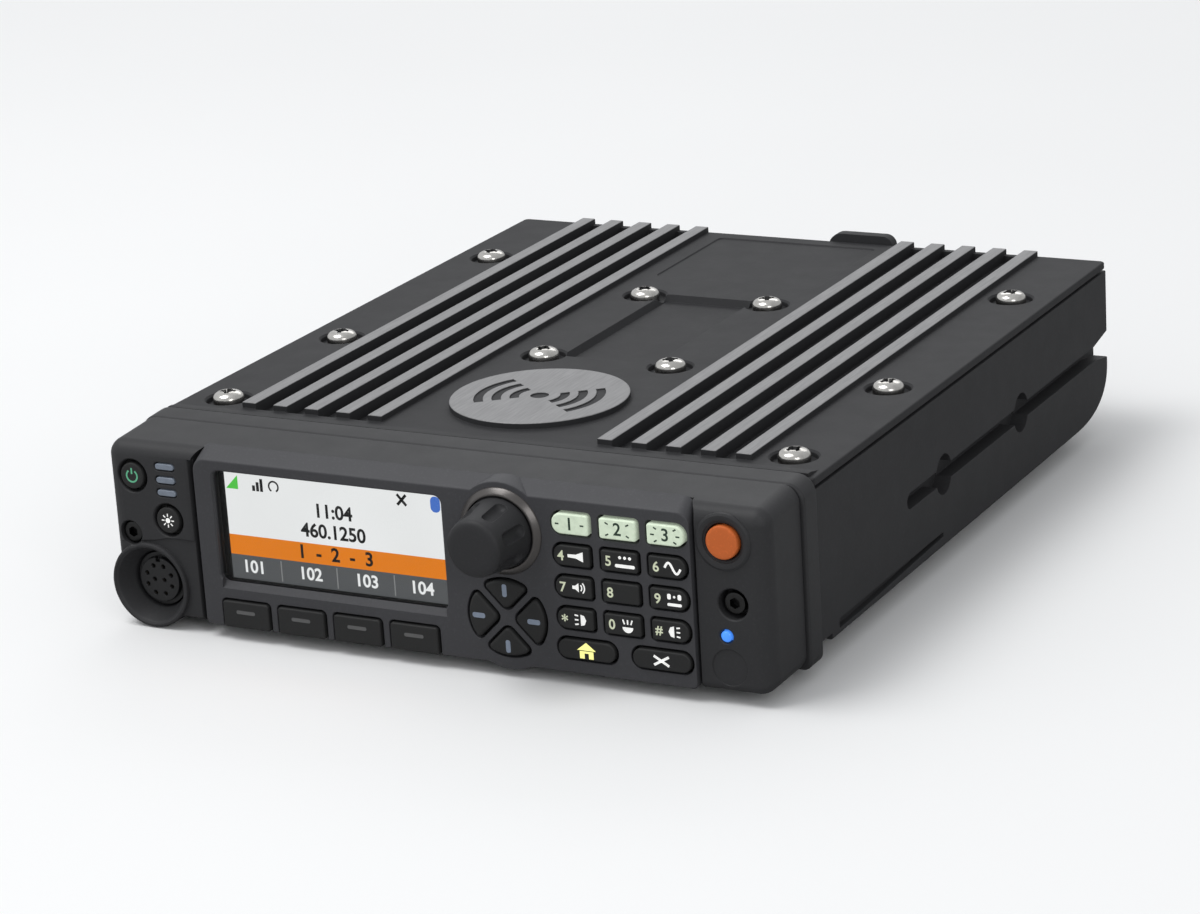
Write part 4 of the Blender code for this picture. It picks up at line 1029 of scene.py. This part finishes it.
def head_bezel():
    steps = [(bezel_outline(39.5, gap=0.3), BEZEL_FACE), (bezel_outline(39.55, gap=0.1), BEZEL_FACE + 0.1)]
    steps += [(bezel_outline(39.7), BEZEL_FACE + 0.3)]
    steps.append((bezel_outline(BEZEL_HIGH.z - 0.2), BEZEL_REAR - 0.7))
    steps.append((bezel_outline(BEZEL_HIGH.z - 0.9), BEZEL_REAR))
    low, high = node_box("display_lens")
    width, height = front_size("display_lens")
    window = rounded_rectangle(middle("display_lens"), width + 0.6, height + 0.6, 2.0, 8)
    wells = {
        name: flared("Y", outline, BEZEL_FACE, WELL_REAR, 0.1) for name, outline in key_outlines(WELL).items()
    }
    low_wells = [wells.pop("key_home"), wells.pop("key_clear")]
    petals = [flared("Y", line, BEZEL_FACE, WELL_REAR, 0.12) for line in pad_outlines(WELL).values()]
    slots = [flared("Y", line, BEZEL_FACE, -115.5, 0.15) for line in soft_outlines(0.45, True).values()]
    seat = BEZEL_FACE + 0.4
    hole = turned("Y", KNOB, ((9.4, -125), (9.4, seat), (3.3, seat), (3.3, -115)), 40)
    sill = low.z - 0.3
    ledge = ((-119.7, sill - 2.16), (-117.9, sill), (-117.9, 16.0), (-119.7, 16.0))
    left, right = low.x - 0.3, high.x + 0.3
    bezel = worked(
        lofted("Y", steps),
        cut(box((-60.2, WALL_BACK, 0.0), (67.3, BEZEL_REAR + 1, 37.6))),
        cut(flared("Y", window, BEZEL_FACE, WELL_REAR, 0.35), hole, *petals, *slots),
        cut(*wells.values()),
        cut(*low_wells),
        cut(prism("X", ledge, left + 0.4, right - 0.4)),
    )
    piece("head_fascia", "head_bezel", "bezel_plastic", bezel, BEZEL, angle=32)
    ring = ((8.75, -117.5), (8.75, -120.2), (8.85, -120.45), (9.1, -120.5), (9.4, -120.4), (10.35, -119.5))
    ring += ((10.55, -119.25), (10.6, -118.6))
    piece("knob_collar", None, "bezel_plastic", turned("Y", KNOB, ring, 72, ring=True), SATIN)


def key_cap(outline, face, rear, soft=0.4):
    """A key whose front edge is rounded."""
    return lofted("Y", soft_steps(inset(outline, 0.02), face, rear, soft, 4))


def digit(key, text, step, height, ink):
    """Put a raised digit on a key, a step away from its middle."""
    mesh = glyphs(text, shifted([step], middle(key))[0], height, KEY_FACE, 0.03, 0.06)
    KEY_SIGNS[key].append(numbered(mesh, ink))


def shapes(key, outlines, ink, step=(0, 0)):
    """Put raised shapes on a key."""
    for outline in outlines:
        mesh = mark(shifted(shifted(outline, step), middle(key)), KEY_FACE)
        KEY_SIGNS[key].append(numbered(mesh, ink))


def lines(key, paths, width, ink, step=(0, 0)):
    """Put raised lines on a key."""
    for path in paths:
        mesh = stroke(shifted(shifted(path, step), middle(key)), width, KEY_FACE)
        KEY_SIGNS[key].append(numbered(mesh, ink))


def rays(inner, outer, angles, stretch=1.35):
    found = []
    for angle in angles:
        c, s = math.cos(math.radians(angle)), math.sin(math.radians(angle))
        found.append([(inner * c * stretch, inner * s), (outer * c * stretch, outer * s)])
    return found


def lamp(direction):
    """A generic lamp sign: a half-round body with three beams."""
    body = [(direction * u, v) for u, v in ((0, -1.35), (0.9, -1.1), (1.4, 0), (0.9, 1.1), (0, 1.35))]
    if direction < 0:
        body = body[::-1]
    beams = [[(-direction * 0.6, v), (-direction * 1.5, v * 1.15)] for v in (-1.0, 0.0, 1.0)]
    return body, beams


def key_digits():
    for key, angles in (("1", (0, 180)), ("2", (35, 145, 215, 325)), ("3", (0, 40, 140, 180, 220, 320))):
        digit(f"key_{key}", key, (0.0, 0.0), 2.9, DARK)
        lines(f"key_{key}", rays(2.0, 2.7, angles), 0.35, DARK)
    for key in "4567890":
        digit(f"key_{key}", key, (-2.7, -0.1), 2.3, PALE)
    digit("key_star", "*", (-2.7, -0.6), 2.6, PALE)
    digit("key_hash", "#", (-2.8, 0.0), 2.1, PALE)


def key_pictures():
    """Plain signs: horn, panel, wave, speaker, cells, lamps, dome light, house and cross."""
    horn = ((-1.9, -0.35), (0.2, -0.45), (2.0, -1.2), (2.0, 1.2), (0.2, 0.45), (-1.9, 0.35))
    shapes("key_4", [horn], WHITE, (1.0, 0.1))
    dots = [arc_points((0.3 + 1.25 * i, 1.1), 0.38, 0, 330, 11) for i in range(3)]
    shapes("key_5", dots + [rounded_rectangle((1.5, -0.9), 5.0, 0.8, 0.35, 3)], WHITE)
    wave = [(-0.5 + 0.22 * i, 1.25 * math.sin(2 * math.pi * i / 18)) for i in range(19)]
    lines("key_6", [wave], 0.55, WHITE)
    speaker = ((-0.9, -0.4), (-0.2, -0.4), (0.7, -1.1), (0.7, 1.1), (-0.2, 0.4), (-0.9, 0.4))
    shapes("key_7", [speaker], WHITE, (0.7, 0.2))
    lines("key_7", [arc_points((1.2, 0.2), radius, -45, 45, 6) for radius in (1.0, 1.7)], 0.3, WHITE)
    cells = [rounded_rectangle((0.2 + 1.3 * i, 0.8), 0.9, 1.3, 0.3, 3) for i in (0, 2)]
    cells.append(arc_points((1.5, 0.8), 0.3, 0, 330, 9))
    shapes("key_9", cells + [rounded_rectangle((1.5, -1.1), 3.6, 0.7, 0.3, 3)], WHITE)
    for key, way, step in (("key_star", 1, (1.4, 0)), ("key_hash", -1, (1.0, 0))):
        body, beams = lamp(way)
        shapes(key, [body], WHITE, step)
        lines(key, beams, 0.35, WHITE, step)
    shapes("key_0", [arc_points((0, 0), 1.35, 180, 360, 12)], WHITE, (1.3, -0.3))
    lines("key_0", [[(u, 0.4), (u * 1.5, 1.5)] for u in (-0.8, 0.0, 0.8)], 0.35, WHITE, (1.3, 0))
    roof = ((-2.4, 0.1), (2.4, 0.1), (0.0, 2.0))
    walls = ((-1.75, -1.9), (-0.55, -1.9), (-0.55, -0.6), (0.55, -0.6), (0.55, -1.9), (1.75, -1.9))
    shapes("key_home", [roof, walls + ((1.75, -0.1), (-1.75, -0.1))], YELLOW)
    lines("key_clear", [[(-1.9, -1.1), (1.9, 1.1)], [(-1.9, 1.1), (1.9, -1.1)]], 0.6, WHITE)


def number_keys():
    key_digits()
    key_pictures()
    for name, outline in key_outlines(-0.05).items():
        cap = key_cap(outline, KEY_FACE, node_box(name)[1].y)
        top, slot = (LIT_KEY, "lit_key") if name in ("key_1", "key_2", "key_3") else (RUBBER, "key_rubber")
        whole = joined([cap] + KEY_SIGNS[name])
        piece(f"{name}_cap", name, slot, whole, top, DIGIT, DARK_INK, ICON, HOME_INK, body=name)


def pad_and_soft_keys():
    for name, outline in pad_outlines(-0.05).items():
        way = Vector({"right": (1, 0), "up": (0, 1), "left": (-1, 0), "down": (0, -1)}[name[4:]])
        wide, tall = (3.3, 1.25) if way.y == 0 else (1.2, 3.1)
        dash = rounded_rectangle((PAD[0] + way.x * 7.2, PAD[1] + way.y * 6.85), wide, tall, 0.5, 5)
        dashed_key(name, outline, 0.7, dash, BLUE_DASH)
    for name, outline in soft_outlines(-0.02).items():
        dash = rounded_rectangle((middle(name)[0], 1.9), 5.2, 0.9, 0.4, 3)
        dashed_key(name, outline, 0.4, dash, SOFT_INK)


def dashed_key(name, outline, soft, dash, ink):
    """A rubber key with a raised dash on it."""
    cap = key_cap(outline, KEY_FACE, node_box(name)[1].y, soft)
    whole = joined([cap, numbered(mark(dash, KEY_FACE), 1)])
    piece(f"{name}_cap", name, "key_rubber", whole, RUBBER, ink, body=name)


def wing_button(name, radius, finish, dish, ink, slot="key_rubber", rings=(), paths=(), width=0.0):
    """A round button whose face is dished, with raised signs and a flange behind the wing's wall."""
    low, high = node_box(name)
    place = middle(name)
    face, flange = low.y, (high.x - place[0]) * 0.99
    profile = ((radius * 0.35, face + dish), (radius * 0.7, face + dish * 0.5), (radius - 0.55, face))
    profile += ((radius - 0.2, face + 0.1), (radius - 0.05, face + 0.32), (radius, face + 0.6))
    profile += ((radius, FLANGE_FRONT), (flange, FLANGE_FRONT), (flange, high.y))
    signs = [mark(shifted(ring, place), face + dish, 0.05) for ring in rings]
    signs += [stroke(shifted(path, place), width, face + dish, 0.05) for path in paths]
    whole = joined([turned("Y", place, profile)] + [numbered(sign, 1) for sign in signs])
    piece(f"{name}_cap", name, slot, whole, finish, ink, body=name)


def wing_buttons():
    """The power, dimmer and emergency buttons."""
    power = [arc_points((0, 0), 1.5, 125, 415, 20), [(0, 0.5), (0, 2.0)]]
    wing_button("power_button", 3.3, RUBBER, 0.10, GREEN_INK, paths=power, width=0.42)
    sun = arc_points((0, 0), 0.65, 0, 345, 15)
    beams = rays(1.0, 1.75, range(0, 360, 45), 1.0)
    wing_button("dimmer_button", 3.3, RUBBER, 0.10, ICON, rings=[sun], paths=beams, width=0.28)
    wing_button("emergency_button", 4.0, ORANGE, 0.0, ICON, "orange_button")


def wing_fittings():
    """The light bars, the blue lens and the two socket screws."""
    low, high = node_box("status_light_pipe")
    back = box((low.x + 0.3, FLANGE_FRONT, low.z), (high.x - 0.3, -114.3, high.z))
    bars = []
    for z in bar_heights():
        outline = rounded_rectangle((middle("status_light_pipe")[0], z), high.x - low.x, 1.5, 0.7)
        bars.append(soft_prism("Y", outline, low.y, -115.0, 0.25))
    piece("status_lights", "status_light_pipe", "light_pipe", worked(back, add(*bars)), BAR_LIGHT)
    low, high = node_box("indicator_lens")
    lens = ((0.35, low.y), (0.8, low.y + 0.08), (1.15, low.y + 0.25), (1.35, low.y + 0.55))
    lens += ((1.35, FLANGE_FRONT), (2.2, FLANGE_FRONT), (2.2, high.y))
    dome = turned("Y", middle("indicator_lens"), lens, 32)
    piece("indicator_dome", "indicator_lens", "blue_lens", dome, BLUE_LENS)
    for name in HEAD_SCREWS:
        low, high = node_box(name)
        head = ((1.3, low.y), (2.2, low.y), (2.5, low.y + 0.12), (2.6, low.y + 0.35), (2.6, -113.6))
        head += ((1.6, -113.6), (1.6, high.y))
        socket = prism("Y", circle(middle(name), 1.35, 6), -119, low.y + 1.9)
        body = worked(turned("Y", middle(name), head, 40), cut(socket))
        piece(f"{name}_head", name, "black_screw", body, BLACK_STEEL)


def microphone_insert():
    low, high = node_box("microphone_connector")
    x, z = MICROPHONE
    profile = ((5.3, low.y), (5.6, low.y + 0.1), (5.7, low.y + 0.4), (5.7, -113.2), (6.75, -113.2))
    hole = ((0.62, -117), (0.62, low.y + 0.1), (0.5, low.y + 0.25), (0.5, -112.4))
    contact = ((0.25, -113.4), (0.42, -113.2), (0.42, -112.3))
    pins = circle(MICROPHONE, 3.75, 8) + [(x - 1.4, z), (x + 1.4, z)]
    keyway = box((x - 0.6, -117, z + 4.6), (x + 0.6, -113.5, z + 6.0))
    plug = turned("Y", MICROPHONE, profile + ((6.75, high.y),), 56)
    plug = worked(plug, cut(*[turned("Y", pin, hole, 16) for pin in pins]), cut(keyway))
    contacts = [numbered(turned("Y", pin, contact, 12), 1) for pin in pins]
    whole = joined([plug] + contacts)
    piece("microphone_insert", "microphone_connector", "connector_plastic", whole, MOULDED, GOLD)


def display():
    """The clear window, and behind it the lit panel with plain signs and numbers."""
    low, high = node_box("display_lens")
    glass = rounded_rectangle(middle("display_lens"), *front_size("display_lens"), 1.3, 8)
    window = soft_prism("Y", glass, low.y, high.y, 0.15, 2)
    # The window's side faces get the near-black material: painted shade along the window's edges.
    for side in window.faces:
        side.material_index = int(abs(side.normal.y) < 0.5)
    piece("display_window", "display_lens", "clear_window", window, CLEAR, SHADE_AND_BACKING_BLACK)
    low, high = node_box("display_module")
    face, rise = low.y, 0.02
    left, right, top, band_top, band_low, bottom = -55.2, 4.3, 36.25, 20.45, 15.45, 9.35
    parts = [
        ("white", box((left, face, band_top), (right, face + 0.3, top))),
        ("orange", box((left, face, band_low), (right, face + 0.3, band_top - 0.001))),
        ("grey", box((left, face, bottom), (right, face + 0.3, band_low - 0.001))),
        ("recess", box((low.x, face + 0.31, low.z), (high.x, face + 0.6, high.z))),
        ("green", mark(((-54.9, 32.0), (-51.5, 32.0), (-51.5, 35.5)), face, rise)),
        ("blue", mark(rounded_rectangle((2.6, 33.8), 2.6, 3.9, 1.2, 5), face, rise)),
        ("black", stroke(arc_points((-41.5, 33.6), 1.3, -60, 240, 14), 0.45, face, rise)),
        ("black", stroke([(-7.6, 32.7), (-5.2, 35.3)], 0.7, face, rise)),
        ("black", stroke([(-7.6, 35.3), (-5.2, 32.7)], 0.7, face, rise)),
    ]
    for x, height in ((-47.5, 1.4), (-46.4, 2.3), (-45.3, 3.2)):
        parts.append(("black", mark(rectangle(x, 32.0, x + 0.8, 32.0 + height), face, rise)))
    for text, x, z in (("11:04", -25.5, 28.7), ("460.1250", -25.9, 23.6), ("1  -  2  -  3", -25.8, 18.0)):
        parts.append(("black", glyphs(text, (x, z), 3.3, face, rise, 0.12)))
    for text, x in (("101", -49.0), ("102", -33.2), ("103", -17.7), ("104", -2.7)):
        parts.append(("white", glyphs(text, (x, 12.5), 3.0, face, rise, 0.10)))
    for x in (-41.3, -25.8, -10.1):
        parts.append(("pale", mark(rectangle(x - 0.15, 9.8, x + 0.15, 15.0), face, rise)))
    order = list(SCREEN_COLOURS) + ["recess"]
    layers = [numbered(mesh, 1 + order.index(name)) for name, mesh in parts]
    layers.append(box((low.x, face + 0.61, low.z), (high.x, high.y, high.z)))
    colours = [screen(f"screen_{name}", colour) for name, colour in SCREEN_COLOURS.items()]
    piece("display_panel", "display_module", "display", joined(layers), TIN, *colours, SHADE_AND_BACKING_BLACK,
          angle=30, weighted=False)


def knob_slot(turn, tip, base):
    """A cutter for one finger slot: a capsule that follows the taper of the knob's side."""
    loops = []
    front, rear, size, depth = tip + 2.5, base - 2.2, 1.7, 1.2
    for y, share in (
        (front, 0.15), (front + 0.1, 0.5), (front + 0.45, 0.8), (front + 1.0, 0.96), (front + 1.6, 1.0),
        (rear - 1.6, 1.0), (rear - 1.0, 0.96), (rear - 0.45, 0.8), (rear - 0.1, 0.5), (rear, 0.15),
    ):
        away = 6.95 + 0.128 * (y - tip - 1.5) + size - depth
        centre = (KNOB[0] + away * math.cos(turn), KNOB[1] + away * math.sin(turn))
        loops.append([(u, y, v) for u, v in circle(centre, size * share, 28)])
    return skin(loops)


def knob():
    """The knob: a straight skirt, a tapered grip with seven slots, and a smooth, slightly domed end."""
    low, high = node_box("control_knob")
    tip, base = low.y, high.y
    profile = ((8.0, base), (8.3, base - 0.1), (8.4, base - 0.4), (8.4, base - 1.2), (8.3, base - 1.7))
    profile += ((6.95, tip + 1.5), (6.85, tip + 1.0), (6.6, tip + 0.55), (6.2, tip + 0.25), (5.6, tip + 0.07))
    profile += ((4.6, tip), (2.5, tip + 0.02))
    slots = [knob_slot(math.radians(17.1) + 2 * math.pi * i / 7, tip, base) for i in range(7)]
    bore = turned("Y", KNOB, ((3.3, -128.3), (3.3, base + 1)), 32)
    cap = worked(turned("Y", KNOB, profile, 96), cut(*slots), cut(bore))
    piece("knob_cap", "control_knob", "knob_rubber", cap, KNOB_RUBBER, body="knob", angle=40)


def carried_over():
    """Frame nodes that already have the right shape get their finish here."""
    finishes = {
        "cover_gasket": SILICONE, "main_board": PCB, "rf_shield": TIN, "power_amplifier": TIN,
        "head_board": PCB, "keypad_mat": SILICONE, "encoder_body": TIN, "encoder_rotor": BRASS,
        "knob_shaft": NICKEL,
    }
    for name, finish in finishes.items():
        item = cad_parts[name]
        item.data.materials.clear()
        item.data.materials.append(finish)


# Stage, light and camera


def stage():
    """A plain pale floor, darker for the light it sends back to the object."""
    nodes = Nodes("studio_floor")
    patches = nodes.span(nodes.noise(3, 2), 0.3, 0.7)
    pale = nodes.mix(patches, rgb((0.90, 0.90, 0.90)), rgb((0.92, 0.92, 0.92)))
    seen = nodes.add("ShaderNodeLightPath").outputs["Is Camera Ray"]
    tone = nodes.mix(seen, rgb((0.40, 0.40, 0.40)), pale)
    nodes.finish({"Base Color": tone, "Roughness": 0.9, "Specular IOR Level": 0.1})
    data = bpy.data.meshes.new("studio_floor")
    size = 6.0
    corners = [(-size, -size, 0), (size, -size, 0), (size, size, 0), (-size, size, 0)]
    data.from_pydata(corners, [], [(0, 1, 2, 3)])
    data.materials.append(nodes.material)
    floor = placed("studio_floor", data)
    floor.location = (0, 0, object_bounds()[0].z - 0.0002)
    floor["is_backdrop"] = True


def light(name, place, target_height, size, power):
    data = bpy.data.lights.new(name, "AREA")
    data.shape = "RECTANGLE"
    data.size, data.size_y = size
    data.energy = power
    item = placed(name, data)
    item.location = place
    way = Vector((0.0, 0.0, target_height)) - Vector(place)
    item.rotation_euler = way.to_track_quat("-Z", "Y").to_euler()


def studio():
    world = bpy.data.worlds.new("studio")
    world.use_nodes = True
    tree = world.node_tree
    background = tree.nodes["Background"]
    background.inputs["Color"].default_value = (0.96, 0.98, 1.0, 1.0)
    direction = tree.nodes.new("ShaderNodeTexCoord").outputs["Generated"]
    across = tree.nodes.new("ShaderNodeSeparateXYZ")
    fall = tree.nodes.new("ShaderNodeMapRange")
    for name, value in (("From Min", -0.6), ("From Max", 0.9), ("To Min", 0.66), ("To Max", 0.45)):
        fall.inputs[name].default_value = value
    tree.links.new(direction, across.inputs[0])
    tree.links.new(across.outputs["X"], fall.inputs["Value"])
    tree.links.new(fall.outputs["Result"], background.inputs["Strength"])
    bpy.context.scene.world = world
    light("key light", (-0.55, -0.45, 1.5), 0.02, (0.9, 0.9), 13.0)
    light("fill light", (1.0, -1.0, 0.6), 0.02, (0.6, 0.6), 3.0)
    light("rim light", (-0.4, 1.3, 0.9), 0.04, (1.2, 0.5), 2.5)
    bpy.context.scene.view_settings.view_transform = "Standard"
    bpy.context.scene.view_settings.look = "None"


def camera():
    """A long lens, from the front right and a little above, rolled slightly anticlockwise."""
    azimuth, elevation, roll = math.radians(28.625), math.radians(18.193), math.radians(-3.641)
    away = Vector((math.sin(azimuth), -math.cos(azimuth), 0.0))
    back = away * math.cos(elevation) + Vector((0.0, 0.0, math.sin(elevation)))
    level = Vector((math.cos(azimuth), math.sin(azimuth), 0.0))
    turn = Matrix.Rotation(roll, 3, back)
    right = turn @ level
    up = back.cross(right)
    data = bpy.data.cameras.new("camera")
    data.sensor_width = 36.0
    data.lens = 112.8
    data.clip_start, data.clip_end = 0.05, 20.0
    item = placed("camera", data)
    turned_axes = Matrix((right, up, back)).transposed().to_4x4()
    item.matrix_world = Matrix.Translation((0.4295, -0.8180, 0.3124)) @ turned_axes
    bpy.context.scene.camera = item


chassis_shell()
cover_plate()
cover_screws()
rear_sockets()
head_housing()
head_collar()
head_bezel()
number_keys()
pad_and_soft_keys()
wing_buttons()
wing_fittings()
microphone_insert()
display()
knob()
carried_over()
stage()
studio()
camera()
